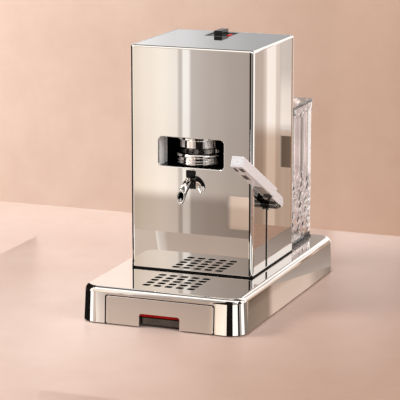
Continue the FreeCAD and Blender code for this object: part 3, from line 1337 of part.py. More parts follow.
def tank_valve():
    """Outlet valve that hangs below the tank floor into the socket."""
    low = TANK_BOTTOM - VALVE_LENGTH
    neck = VALVE_RADIUS - VALVE_NECK - CLOSE_GAP
    floor = TANK_BOTTOM + TANK_WALL
    profile = [(0, low), (VALVE_RADIUS - 1, low), (VALVE_RADIUS, low + 1), (VALVE_RADIUS, TANK_BOTTOM),
               (neck, TANK_BOTTOM), (neck, floor), (VALVE_RADIUS, floor), (VALVE_RADIUS - 2, floor + 2),
               (0, floor + 2)]
    return turned(profile, VALVE_X, VALVE_Y)


def tank_lid():
    """Clear lid with a skirt inside the tank and a round filling hole."""
    low = TANK_TOP + SEATED_GAP
    high = low + LID_THICKNESS
    plate = tank_block(-TANK_LIP_PROUD, low, high)
    plate = plate.makeFillet(LID_EDGE_ROUND, edges_where(plate, lambda p: p.z > high - 0.01))
    inset = TANK_WALL + LID_SKIRT_GAP
    skirt = tank_block(inset, low - LID_SKIRT, low + LID_THICKNESS / 2)
    hollow = tank_block(inset + LID_SKIRT_WALL, low - LID_SKIRT - 1, low)
    centre_y = (TANK_FRONT + TANK_BACK) / 2
    hole = rod(LID_HOLE_RADIUS, Vector(0, centre_y, low - 1), Vector(0, centre_y, high + 1))
    return plate.fuse(skirt).cut([hollow, hole]).removeSplitter()


def cord_entry():
    """Rubber bushing in the rear wall of the base where the mains cord comes in."""
    lean = (ENTRY_Z + ENTRY_FLANGE) * math.tan(math.radians(BASE_DRAFT))
    outer_y = BASE_DEPTH / 2 - lean
    inner_wall = BASE_DEPTH / 2 - BASE_WALL - lean - FIT_GAP
    rear = outer_y - ENTRY_LENGTH
    neck = rod(ENTRY_NECK, Vector(ENTRY_X, rear, ENTRY_Z), Vector(ENTRY_X, outer_y, ENTRY_Z))
    flange = rod(ENTRY_FLANGE, Vector(ENTRY_X, inner_wall - ENTRY_FLANGE_THICKNESS, ENTRY_Z),
                 Vector(ENTRY_X, inner_wall, ENTRY_Z))
    bore = rod(ENTRY_BORE, Vector(ENTRY_X, rear - 1, ENTRY_Z), Vector(ENTRY_X, outer_y + 1, ENTRY_Z))
    return neck.fuse(flange).cut(bore)


BUILDERS = [
    base_housing, base_plate, rubber_feet, base_screws, drawer_runners, cord_entry,
    body_shell, rear_panel, rear_screws, body_gasket, top_panel,
    switch_bezel, switch_housing, rocker_pin, switch_lamp, switch_rocker,
    window_lining, guide_cheeks, group_head, group_seal, shower_screen,
    boiler, heater_terminals, thermostat, chassis, chassis_screws, carrier_guide,
    shaft_bushings, panel_bush, pump, pump_mounts, pump_brackets, water_hose, pressure_hose,
    tank_seat, water_tank, tank_valve, tank_lid,
    drawer_front, drip_tray,
    pod_carrier, carrier_filter, carrier_stem, spout_tube, spout_nut, slot_shutter,
    lever_shaft, lift_cam, shaft_collar, lever_hub, hub_screw, lever_arm, lever_grip, lever_end_cap,
]


def main():
    """Build every sub-part and write it as its own STEP file."""
    os.makedirs("parts", exist_ok=True)
    for builder in BUILDERS:
        shape = builder()
        shape.exportStep(os.path.join("parts", builder.__name__ + ".step"))


main()
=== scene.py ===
"""Visual model of a pod espresso machine: mirror steel body on a chromed base.

Sizes in the classes of the machine are millimetres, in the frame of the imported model: X to the
right seen from the front, Y to the rear, Z up. They become metres when a mesh is written. The
stage is in metres.
"""

import json
import logging
import math
from dataclasses import astuple, dataclass
from enum import Enum
from typing import Iterable, Optional, Sequence

import bpy
import numpy as np
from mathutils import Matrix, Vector
from mathutils.geometry import delaunay_2d_cdt


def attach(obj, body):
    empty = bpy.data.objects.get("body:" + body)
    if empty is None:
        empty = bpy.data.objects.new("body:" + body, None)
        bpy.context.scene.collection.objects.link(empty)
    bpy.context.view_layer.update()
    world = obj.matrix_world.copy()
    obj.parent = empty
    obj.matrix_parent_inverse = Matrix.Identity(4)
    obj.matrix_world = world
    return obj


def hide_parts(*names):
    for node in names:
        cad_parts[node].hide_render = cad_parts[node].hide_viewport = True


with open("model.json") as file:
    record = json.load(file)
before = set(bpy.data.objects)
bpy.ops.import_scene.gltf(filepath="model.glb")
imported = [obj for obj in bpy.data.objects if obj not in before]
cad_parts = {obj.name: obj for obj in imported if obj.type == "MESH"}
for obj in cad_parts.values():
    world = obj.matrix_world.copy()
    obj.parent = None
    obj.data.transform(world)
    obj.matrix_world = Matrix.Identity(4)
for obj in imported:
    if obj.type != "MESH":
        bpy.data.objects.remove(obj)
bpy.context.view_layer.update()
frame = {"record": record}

LOG = logging.getLogger("espresso_machine")
MM = 0.001
WELD_STEP = 1e-3
MERGE_STEP = 1e-7
TINY = 1e-9

Socket = bpy.types.NodeSocket
Spot = tuple[float, float, float]
Colour = tuple[float, float, float]
Stops = tuple[tuple[float, float, float, float], ...]


@dataclass
class Path:
    """A line in a plane, with the normals to its right and how it moves when it is offset.

    Fields: points (n, 2); before and after, unit normals for the edge that ends at a point and
    the one that starts there; miter, the move of a point for one millimetre of offset; reach,
    how far inwards an arc can go until it is a sharp corner; lean, the move of that corner.
    """

    points: np.ndarray
    before: np.ndarray
    after: np.ndarray
    miter: np.ndarray
    reach: np.ndarray
    lean: np.ndarray
    closed: bool

    def at(self, offset: float) -> np.ndarray:
        """Points moved by an offset: point + max(offset, -reach) * miter, then the rest * lean."""
        first = np.maximum(offset, -self.reach)[:, None]
        return self.points + first * self.miter + (offset - first) * self.lean


@dataclass
class Patch:
    """Part of a surface: points (n, 3), faces (m, 3 or 4) and a normal for each face corner."""

    points: np.ndarray
    faces: np.ndarray
    normals: np.ndarray


@dataclass(frozen=True)
class Pose:
    """A local frame: u and v span the plane, w is the normal, and start is its origin."""

    u: Spot
    v: Spot
    w: Spot
    start: Spot = (0.0, 0.0, 0.0)

    def put(self, patch: Patch) -> Patch:
        """Carry a patch from local to world: start + a u + b v + c w.

        Args:
            patch: Patch in the pose's own directions.

        Returns:
            The same patch in the world.
        """
        turn = np.array([self.u, self.v, self.w], float)
        return Patch(patch.points @ turn + np.array(self.start), patch.faces,
                     patch.normals @ np.linalg.inv(turn).T)


FACING_FRONT = Pose((1, 0, 0), (0, 0, 1), (0, -1, 0))
FACING_BACK = Pose((-1, 0, 0), (0, 0, 1), (0, 1, 0))
FACING_RIGHT = Pose((0, 1, 0), (0, 0, 1), (1, 0, 0))


def rounded(corners: Sequence[Sequence[float]], closed: bool = True, steps: int = 6) -> Path:
    """Path through corners (a, b, radius), each rounded by an arc that touches both its edges.

    A left turn keeps its arc's centre on the inside, point = centre + radius * normal; a right
    turn has it outside, point = centre - radius * normal. The normal turns evenly on the way.

    Args:
        corners: Corner points with their radii; a closed path runs anticlockwise.
        closed: Whether the last corner joins the first.
        steps: Divisions of an arc of a quarter turn.

    Returns:
        The path, with exact normals on its straight runs and arcs.
    """
    data = np.array(corners, float)
    spots, radii = data[:, :2], data[:, 2]
    ahead = np.roll(spots, -1, axis=0) - spots
    ahead /= np.maximum(np.linalg.norm(ahead, axis=1, keepdims=True), TINY)
    if not closed:
        ahead[-1] = ahead[-2]
    behind = np.roll(ahead, 1, axis=0)
    if not closed:
        behind[0] = ahead[0]
    runs = []
    for spot, radius, way_in, way_out in zip(spots, radii, behind, ahead):
        normal_in, normal_out = (np.array([way[1], -way[0]]) for way in (way_in, way_out))
        turn = math.atan2(way_in[0] * way_out[1] - way_in[1] * way_out[0], way_in @ way_out)
        corner = (normal_in + normal_out) / max(1 + normal_in @ normal_out, TINY)
        if radius <= 0 or abs(turn) < TINY:
            runs.append((spot[None], normal_in[None], normal_out[None], corner[None], [np.inf], corner[None]))
            continue
        side = math.copysign(1.0, turn)
        centre = spot - way_in * radius * math.tan(abs(turn) / 2) - side * radius * normal_in
        count = max(2, int(round(abs(turn) / (math.pi / 2) * steps)) + 1)
        angle = math.atan2(normal_in[1], normal_in[0]) + np.linspace(0, turn, count)
        normals = np.stack([np.cos(angle), np.sin(angle)], axis=1)
        runs.append((centre + side * radius * normals, normals, normals, normals,
                     np.full(count, radius if side > 0 else np.inf), np.broadcast_to(corner, normals.shape)))
    return Path(*(np.concatenate(part) for part in zip(*runs)), closed)


def section_run(corners: Sequence[Sequence[float]], steps: int = 4) -> Path:
    """Open profile through corners (offset, height, radius), whose ends meet level faces.

    The path is worked out with one more level run at each end, and these two are taken off.

    Args:
        corners: Corner points with their radii.
        steps: Divisions of an arc of a quarter turn.

    Returns:
        The profile; its first and last corners are rounded too.
    """
    ends = [(corner[0] - 1, corner[1], 0) for corner in (corners[0], corners[-1])]
    whole = rounded([ends[0], *corners, ends[1]], False, steps)
    return Path(*(part[1:-1] for part in astuple(whole)[:-1]), False)


def straight_wall(low: float, high: float, offset: float = 0.0) -> Path:
    """Profile of a plain upright wall."""
    return rounded([(offset, low, 0), (offset, high, 0)], False)


def around(centre: Sequence[float], half: Sequence[float]) -> tuple[float, float, float, float]:
    """Left, right, lower and upper side of a rectangle, from its centre and half sizes."""
    return centre[0] - half[0], centre[0] + half[0], centre[1] - half[1], centre[1] + half[1]


def block_outline(x0: float, x1: float, y0: float, y1: float, radius: float, steps: int = 6) -> Path:
    """Rectangle with four equal round corners, anticlockwise from its lower left corner."""
    return rounded([(x0, y0, radius), (x1, y0, radius), (x1, y1, radius), (x0, y1, radius)], True, steps)


def block_hole(x0: float, x1: float, y0: float, y1: float, radius: float, steps: int = 6) -> Path:
    """Outline of a rectangular hole, clockwise, so that its normals point into the hole."""
    return rounded([(x0, y0, radius), (x0, y1, radius), (x1, y1, radius), (x1, y0, radius)], True, steps)


def ring_outline(x: float, y: float, radius: float, count: int = 48, way: int = 1) -> Path:
    """Circle: centre + radius * (cos a, sin a).

    Args:
        x: First part of the centre.
        y: Second part of the centre.
        radius: Radius of the circle.
        count: Points on it.
        way: 1 for anticlockwise with outward normals, -1 for clockwise with inward ones.

    Returns:
        The closed path.
    """
    angle = way * np.linspace(0, 2 * math.pi, count, endpoint=False)
    normals = way * np.stack([np.cos(angle), np.sin(angle)], axis=1)
    return Path(np.array([x, y]) + way * radius * normals, normals, normals, normals, np.full(count, np.inf),
                normals, True)


def ring_hole(x: float, y: float, radius: float, count: int = 48) -> Path:
    """Outline of a round hole, clockwise, so that its normals point into the hole."""
    return ring_outline(x, y, radius, count, -1)


def box_loop(x0: float, x1: float, y0: float, y1: float) -> np.ndarray:
    """Corners of a rectangle, anticlockwise."""
    return np.array([(x0, y0), (x1, y0), (x1, y1), (x0, y1)], float)


def longest_edges(profile: Path) -> list[int]:
    """Indices of a profile's two longest edges, the tall walls of a section.

    Args:
        profile: The profile.

    Returns:
        The two indices, the lower one first.
    """
    ends = np.roll(profile.points, -1, axis=0) if profile.closed else profile.points[1:]
    lengths = np.linalg.norm(ends - profile.points[:len(ends)], axis=1)
    return sorted(np.argsort(lengths)[-2:].tolist())


def carry(outline: Path, profile: Path, skip: Iterable[tuple[int, int]] = ()) -> Patch:
    """Profile of (offset, height) carried along an outline.

    Formula: point(k, j) = outline point k + offset j * its miter, at height j. The normal is the
    outline's normal times the profile normal's first part, plus up times its second part.

    Args:
        outline: Path seen from above.
        profile: Path in the plane of outward offset and height.
        skip: Pairs (outline edge, profile edge) whose faces are left out.

    Returns:
        The patch of quads.
    """
    count, rows = len(outline.points), len(profile.points)
    offset, height = profile.points[:, 0], profile.points[:, 1]
    flat = np.stack([outline.at(one) for one in offset], axis=1)
    points = np.concatenate([flat, np.broadcast_to(height[None, :, None], (count, rows, 1))], axis=2)
    k = np.arange(count if outline.closed else count - 1)
    j = np.arange(rows if profile.closed else rows - 1)
    grid_k, grid_j = (part.ravel() for part in np.meshgrid(k, j, indexing="ij"))
    keep = np.ones(len(grid_k), bool)
    for edge, row in skip:
        keep &= ~((grid_k == edge % count) & (grid_j == row))
    grid_k, grid_j = grid_k[keep], grid_j[keep]
    next_k, next_j = (grid_k + 1) % count, (grid_j + 1) % rows
    faces = np.stack([grid_k * rows + grid_j, next_k * rows + grid_j,
                      next_k * rows + next_j, grid_k * rows + next_j], axis=1)
    sides = np.stack([outline.after[grid_k], outline.before[next_k],
                      outline.before[next_k], outline.after[grid_k]], axis=1)
    rises = np.stack([profile.after[grid_j], profile.after[grid_j],
                      profile.before[next_j], profile.before[next_j]], axis=1)
    normals = np.concatenate([sides * rises[..., :1], rises[..., 1:]], axis=2)
    return Patch(points.reshape(-1, 3), faces, normals)


def plate(outer: np.ndarray, holes: Sequence[np.ndarray], height: float, up: bool = True) -> Patch:
    """Flat face inside an outline and outside its holes, as triangles at one height.

    Args:
        outer: Outline points, anticlockwise.
        holes: Outline points of each hole.
        height: Place along the normal.
        up: Whether the face looks along the normal or against it.

    Returns:
        The patch of triangles, all with the same normal.
    """
    loops = [outer, *holes]
    sizes = np.array([len(loop) for loop in loops])
    starts = np.concatenate([[0], np.cumsum(sizes)[:-1]])
    flat = np.concatenate(loops)
    edges = np.concatenate([np.stack([start + np.arange(size), start + (np.arange(size) + 1) % size], axis=1)
                            for start, size in zip(starts, sizes)])
    verts, _, tris, *_ = delaunay_2d_cdt([tuple(p) for p in flat], edges.tolist(), [], 0,
                                          MERGE_STEP)
    spots = np.array([tuple(v) for v in verts])
    faces = np.array(tris)
    middles = spots[faces].mean(axis=1)
    inside = within(middles, outer)
    for hole in holes:
        inside &= ~within(middles, hole)
    faces = faces[inside]
    a, b, c = (spots[faces[:, i]] for i in range(3))
    area = (b[:, 0] - a[:, 0]) * (c[:, 1] - a[:, 1]) - (b[:, 1] - a[:, 1]) * (c[:, 0] - a[:, 0])
    wrong = (area < 0) if up else (area > 0)
    faces[wrong] = faces[wrong][:, ::-1]
    faces = faces[np.abs(area) > TINY]
    points = np.column_stack([spots, np.full(len(spots), height)])
    normals = np.zeros((len(faces), 3, 3))
    normals[..., 2] = 1 if up else -1
    return Patch(points, faces, normals)


def within(spots: np.ndarray, loop: np.ndarray) -> np.ndarray:
    """Which spots lie inside a closed loop: the crossings of a ray to the right are odd.

    Args:
        spots: Points (n, 2).
        loop: Points of the loop (m, 2).

    Returns:
        One truth value for each spot.
    """
    nxt = np.roll(loop, -1, axis=0)
    x, y = spots[:, :1], spots[:, 1:]
    straddle = (loop[None, :, 1] > y) != (nxt[None, :, 1] > y)
    rise = np.where(nxt[:, 1] == loop[:, 1], TINY, nxt[:, 1] - loop[:, 1])
    cross_x = loop[:, 0] + (y - loop[:, 1]) * (nxt[:, 0] - loop[:, 0]) / rise
    return (straddle & (x < cross_x)).sum(axis=1) % 2 == 1


def turned(profile: Path, x: float, y: float, count: int = 64) -> Patch:
    """Profile of (radius, height) turned about an upright axis: a circle of no size, offset by the radius."""
    return carry(ring_outline(x, y, 0.0, count), profile)


def solid_block(outline: Path, low: float, high: float, low_round: float, high_round: float,
                steps: int = 4) -> list[Patch]:
    """Closed block on an outline, with its lower and upper edges rounded.

    Args:
        outline: Outline seen along the block's own upright axis.
        low: Height of the lower face.
        high: Height of the upper face.
        low_round: Radius along the lower edge.
        high_round: Radius along the upper edge.
        steps: Divisions of each rounding.

    Returns:
        Side wall, lower face and upper face.
    """
    profile = section_run([(0, low, low_round), (0, high, high_round)], steps)
    return [carry(outline, profile), plate(outline.at(profile.points[0, 0]), [], low, False),
            plate(outline.at(profile.points[-1, 0]), [], high, True)]


@dataclass(frozen=True)
class Hole:
    """A hole in a sheet: its clockwise path, the radius of its upper edge, and how much wider it is below."""

    path: Path
    edge: float = 0.0
    flare: float = 0.0

    def wall(self, low: float, high: float) -> Patch:
        """Wall from the lower to the upper face."""
        return carry(self.path, section_run([(-self.flare, low, 0), (0, high, self.edge)]))


def pierced(outer: np.ndarray, holes: Sequence[Hole], low: float, high: float,
            lower_outer: Optional[np.ndarray] = None) -> list[Patch]:
    """Both faces of a sheet with holes in it, and the holes' walls, without its outer edge.

    Args:
        outer: Outline of the upper face.
        holes: The holes.
        low: Height of the lower face.
        high: Height of the upper face.
        lower_outer: Outline of the lower face, where it differs.

    Returns:
        Upper face, lower face and one wall for each hole.
    """
    lower = outer if lower_outer is None else lower_outer
    walls = [hole.wall(low, high) for hole in holes]
    rings = [wall.points.reshape(len(hole.path.points), -1, 3) for wall, hole in zip(walls, holes)]
    return [plate(outer, [ring[:, -1, :2] for ring in rings], high, True),
            plate(lower, [ring[:, 0, :2] for ring in rings], low, False), *walls]


def sheet_block(outline: Path, holes: Sequence[Hole], low: float, high: float,
                offset: float = 0.0) -> list[Patch]:
    """Sheet with plain sides between two heights, its faces pierced and offset from the outline."""
    return [carry(outline, straight_wall(low, high, offset)), *pierced(outline.at(offset), holes, low, high)]


def quad(corners: Sequence[Sequence[float]]) -> Patch:
    """One flat face; its normal is the cross product of its first two sides.

    Args:
        corners: The four corners, anticlockwise seen from outside.

    Returns:
        The patch of one face.
    """
    spots = np.array(corners, float)
    normal = np.cross(spots[1] - spots[0], spots[2] - spots[1])
    normal /= np.linalg.norm(normal)
    return Patch(spots, np.array([[0, 1, 2, 3]]), np.broadcast_to(normal, (1, 4, 3)))


def grid_patch(points: np.ndarray, wrap: bool) -> Patch:
    """Smooth patch from a grid of points (rows, columns, 3).

    The normal is the cross product of the central differences along columns and rows.

    Args:
        points: Grid of points; along a row they run anticlockwise round the sheet's way up.
        wrap: Whether the last column joins the first.

    Returns:
        The patch of quads.
    """
    rows, cols = points.shape[:2]
    along = np.roll(points, -1, 1) - np.roll(points, 1, 1) if wrap else np.gradient(points, axis=1)
    across = np.gradient(points, axis=0)
    normals = np.cross(along, across)
    normals /= np.maximum(np.linalg.norm(normals, axis=2, keepdims=True), TINY)
    r, c = (part.ravel() for part in np.meshgrid(np.arange(rows - 1), np.arange(cols if wrap else cols - 1),
                                                 indexing="ij"))
    d = (c + 1) % cols
    faces = np.stack([r * cols + c, r * cols + d, (r + 1) * cols + d, (r + 1) * cols + c], axis=1)
    flat = normals.reshape(-1, 3)
    return Patch(points.reshape(-1, 3), faces, flat[faces])


def write_mesh(name: str, patches: Sequence[Patch]) -> bpy.types.Object:
    """One closed mesh object from patches: joined points are welded and keep each face's own normals.

    Args:
        name: Name of the object.
        patches: Patches in millimetres.

    Returns:
        The object, at the origin, in metres.
    """
    points, corners, sizes, normals = [], [], [], []
    shift = 0
    for patch in patches:
        points.append(patch.points)
        corners.append((patch.faces + shift).ravel())
        sizes.append(np.full(len(patch.faces), patch.faces.shape[1]))
        normals.append(patch.normals.reshape(-1, 3))
        shift += len(patch.points)
    points, corners = np.concatenate(points), np.concatenate(corners)
    sizes, normals = np.concatenate(sizes), np.concatenate(normals)
    _, first, same = np.unique(np.round(points / WELD_STEP).astype(np.int64), axis=0,
                               return_index=True, return_inverse=True)
    corners = same.reshape(-1)[corners]
    face_of = np.repeat(np.arange(len(sizes)), sizes)
    start_of = np.concatenate([[0], np.cumsum(sizes)[:-1]])
    place = np.arange(len(corners)) - start_of[face_of]
    following = corners[start_of[face_of] + (place + 1) % sizes[face_of]]
    keep = corners != following
    kept = np.bincount(face_of[keep], minlength=len(sizes))
    good = kept >= 3
    keep &= good[face_of]
    corners, normals, sizes = corners[keep], normals[keep], kept[good]
    used, corners = np.unique(corners, return_inverse=True)
    places = points[first[used]] * MM
    mesh = bpy.data.meshes.new(name)
    mesh.vertices.add(len(places))
    mesh.vertices.foreach_set("co", places.ravel())
    mesh.loops.add(len(corners))
    mesh.loops.foreach_set("vertex_index", corners.reshape(-1).astype(np.int32))
    mesh.polygons.add(len(sizes))
    mesh.polygons.foreach_set("loop_start", np.concatenate([[0], np.cumsum(sizes)[:-1]]).astype(np.int32))
    mesh.polygons.foreach_set("use_smooth", np.ones(len(sizes), bool))
    mesh.update(calc_edges=True)
    lengths = np.maximum(np.linalg.norm(normals, axis=1, keepdims=True), TINY)
    mesh.normals_split_custom_set((normals / lengths).tolist())
    piece = bpy.data.objects.new(name, mesh)
    bpy.context.scene.collection.objects.link(piece)
    return piece


def make_piece(name: str, patches: Sequence[Patch], body: str, slot: str, *nodes: str,
               finish: Optional[str] = None) -> None:
    """Write a piece, attach it to its body, give it the material of its finish or slot, and hide the CAD
    nodes that it stands for.

    Args:
        name: Name of the piece.
        patches: Its patches in millimetres.
        body: Name of the body that it rides on.
        slot: Material slot of the record.
        nodes: CAD nodes that it replaces.
        finish: Finish of the piece, where it isn't the slot's.
    """
    piece = write_mesh(name, patches)
    piece.data.materials.append(bpy.data.materials[finish or slot])
    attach(piece, body)
    if nodes:
        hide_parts(*nodes)
    LOG.info("%s: %d faces, on %s, %s", name, len(piece.data.polygons), body, slot)


class Tree:
    """A node tree with short ways to add and join nodes."""

    def __init__(self, tree: bpy.types.NodeTree) -> None:
        """Keep the tree that the nodes go into."""
        self.tree = tree

    @classmethod
    def of(cls, owner: bpy.types.ID) -> "Tree":
        """The emptied node tree of a new material or world.

        Args:
            owner: The material or world.

        Returns:
            Its tree, without nodes.
        """
        owner.use_nodes = True
        owner.node_tree.nodes.clear()
        return cls(owner.node_tree)

    def join(self, source: Socket, target: Socket) -> None:
        """Join an output to an input."""
        self.tree.links.new(source, target)

    def add(self, kind: str, settings: Optional[dict] = None, **inputs: object) -> bpy.types.Node:
        """Add a node.

        Args:
            kind: Type name without its common first part.
            settings: Properties of the node.
            inputs: Sockets or values by input name, with underscores for spaces; an underscore
                and a number pick the input of that index.

        Returns:
            The node.
        """
        node = self.tree.nodes.new("ShaderNode" + kind)
        for key, value in (settings or {}).items():
            setattr(node, key, value)
        for key, value in inputs.items():
            socket = node.inputs[int(key[1:])] if key[0] == "_" else node.inputs[key.replace("_", " ")]
            if isinstance(value, Socket):
                self.join(value, socket)
            else:
                socket.default_value = value
        return node

    def place(self, group: str, where: Socket, **inputs: object) -> bpy.types.Node:
        """Place a shared node group, with the piece's coordinates and its own values."""
        return self.add("Group", {"node_tree": bpy.data.node_groups[group]}, Vector=where, **inputs)

    def math(self, operation: str, first: object, second: object = 0.0) -> Socket:
        """Output of a Math node."""
        return self.add("Math", {"operation": operation}, _0=first, _1=second).outputs[0]

    def span(self, value: Socket, low: float, high: float, to_low: object = 0.0,
             to_high: object = 1.0) -> Socket:
        """Value taken from one range to another, and kept inside it."""
        return self.add("MapRange", {"clamp": True}, Value=value, From_Min=low, From_Max=high,
                        To_Min=to_low, To_Max=to_high).outputs[0]

    def mix(self, share: object, first: object, second: object, blend: str = "MIX") -> Socket:
        """Two colours mixed."""
        return self.add("Mix", {"data_type": "RGBA", "blend_type": blend}, Factor=share, _6=first,
                        _7=second).outputs[2]

    def bump(self, given: Socket, height: Socket) -> Socket:
        """Normal from a height, by the group inputs Strength and Height."""
        return self.add("Bump", None, Height=height, Strength=given["Strength"],
                        Distance=given["Height"]).outputs[0]

    def show(self, shader: Socket, one_sided: bool = False) -> None:
        """Join a shader to the material's output.

        Args:
            shader: The shader.
            one_sided: Whether the back of each face is clear.
        """
        if one_sided:
            clear = self.add("BsdfTransparent").outputs[0]
            back = self.add("NewGeometry").outputs["Backfacing"]
            shader = self.add("MixShader", None, Fac=back, _1=shader, _2=clear).outputs[0]
        self.add("OutputMaterial", None, Surface=shader)


def new_group(name: str, inputs: Sequence[tuple[str, str, object]],
              outputs: Sequence[tuple[str, str]]) -> tuple[Tree, object, object]:
    """Shader node group with named sockets, which all start with the coordinates.

    Args:
        name: Name of the group.
        inputs: Name, socket type and default of each further input.
        outputs: Name and socket type of each output.

    Returns:
        The tree, the sockets that it is given and the sockets that it fills.
    """
    group = bpy.data.node_groups.new(name, "ShaderNodeTree")
    for label, kind, value in (("Vector", "Vector", None), *inputs):
        socket = group.interface.new_socket(name=label, in_out="INPUT", socket_type="NodeSocket" + kind)
        if value is not None:
            socket.default_value = value
    for label, kind in outputs:
        group.interface.new_socket(name=label, in_out="OUTPUT", socket_type="NodeSocket" + kind)
    return Tree(group), group.nodes.new("NodeGroupInput").outputs, group.nodes.new("NodeGroupOutput").inputs


def tone_drift_group() -> None:
    """Two tones mixed by slow noise, so that no surface is one flat colour."""
    tree, given, out = new_group("tone_drift", [("Scale", "Float", 20.0), ("Light", "Color", None),
                                                ("Dark", "Color", None)], [("Color", "Color")])
    noise = tree.add("TexNoise", None, Vector=given["Vector"], Scale=given["Scale"], Detail=4.0,
                     Roughness=0.6)
    mask = tree.span(noise.outputs["Fac"], 0.3, 0.7)
    tree.join(tree.mix(mask, given["Light"], given["Dark"]), out["Color"])


def handling_group() -> None:
    """Faint wiping marks and dull patches that raise the roughness of a polished face."""
    tree, given, out = new_group("handling_marks", [("Clean", "Float", 0.03), ("Touched", "Float", 0.12),
                                                    ("Scale", "Float", 14.0)], [("Roughness", "Float")])
    patches = tree.add("TexNoise", None, Vector=given["Vector"], Scale=given["Scale"], Detail=5.0,
                       Roughness=0.62, Distortion=0.4)
    stretch = tree.add("Mapping", None, Vector=given["Vector"], Scale=(9.0, 9.0, 260.0),
                       Rotation=(0.3, 0.5, 0.0))
    wiping = tree.add("TexNoise", None, Vector=stretch.outputs[0], Scale=1.6, Detail=2.0)
    soft = tree.span(patches.outputs["Fac"], 0.5, 0.78)
    lines = tree.span(wiping.outputs["Fac"], 0.52, 0.8, 0.0, 0.35)
    mask = tree.math("ADD", soft, lines)
    tree.join(tree.span(mask, 0.0, 1.2, given["Clean"], given["Touched"]), out["Roughness"])


def ripple_group() -> None:
    """Slow unevenness of pressed and polished sheet, as a bumped normal."""
    tree, given, out = new_group("sheet_ripple", [("Scale", "Float", 6.0), ("Strength", "Float", 0.1),
                                                  ("Height", "Float", 0.001)], [("Normal", "Vector")])
    noise = tree.add("TexNoise", None, Vector=given["Vector"], Scale=given["Scale"], Detail=1.0,
                     Roughness=0.4)
    tree.join(tree.bump(given, noise.outputs["Fac"]), out["Normal"])


def grain_group() -> None:
    """Long fine lines of a brushed face: a normal, and a mask for the roughness."""
    wanted = [("Stretch", "Vector", (1, 1, 1)), ("Strength", "Float", 0.2), ("Height", "Float", 0.00004)]
    tree, given, out = new_group("brushed_grain", wanted, [("Normal", "Vector"), ("Mask", "Float")])
    mapping = tree.add("Mapping", None, Vector=given["Vector"], Scale=given["Stretch"])
    lines = tree.add("TexNoise", None, Vector=mapping.outputs[0], Scale=1.0, Detail=3.0, Roughness=0.7)
    tree.join(tree.bump(given, lines.outputs["Fac"]), out["Normal"])
    tree.join(lines.outputs["Fac"], out["Mask"])


def moulding_group() -> None:
    """Fine pebbled skin and slow sink of moulded plastic and rubber, as a normal."""
    tree, given, out = new_group("moulded_skin", [("Scale", "Float", 900.0), ("Strength", "Float", 0.2),
                                                  ("Height", "Float", 0.00005)], [("Normal", "Vector")])
    fine = tree.add("TexNoise", None, Vector=given["Vector"], Scale=given["Scale"], Detail=2.0)
    slow = tree.add("TexNoise", None, Vector=given["Vector"], Scale=45.0, Detail=1.0)
    sink = tree.math("MULTIPLY", slow.outputs["Fac"], 2.5)
    tree.join(tree.bump(given, tree.math("ADD", fine.outputs["Fac"], sink)), out["Normal"])


def spangle_group() -> None:
    """Crystal patches of zinc coated sheet, as a mask."""
    tree, given, out = new_group("zinc_spangle", [("Scale", "Float", 160.0)], [("Mask", "Float")])
    cells = tree.add("TexVoronoi", None, Vector=given["Vector"], Scale=given["Scale"])
    tree.join(tree.add("RGBToBW", None, Color=cells.outputs["Color"]).outputs[0], out["Mask"])


class Texture(Enum):
    """How a finish varies over its surface."""

    POLISHED = "polished"
    BRUSHED = "brushed"
    SPANGLED = "spangled"
    MOULDED = "moulded"
    CLEAR = "clear"

    @property
    def metallic(self) -> float:
        """1 for the textures of metal, 0 for those of plastic and rubber."""
        return 0.0 if self in (Texture.MOULDED, Texture.CLEAR) else 1.0


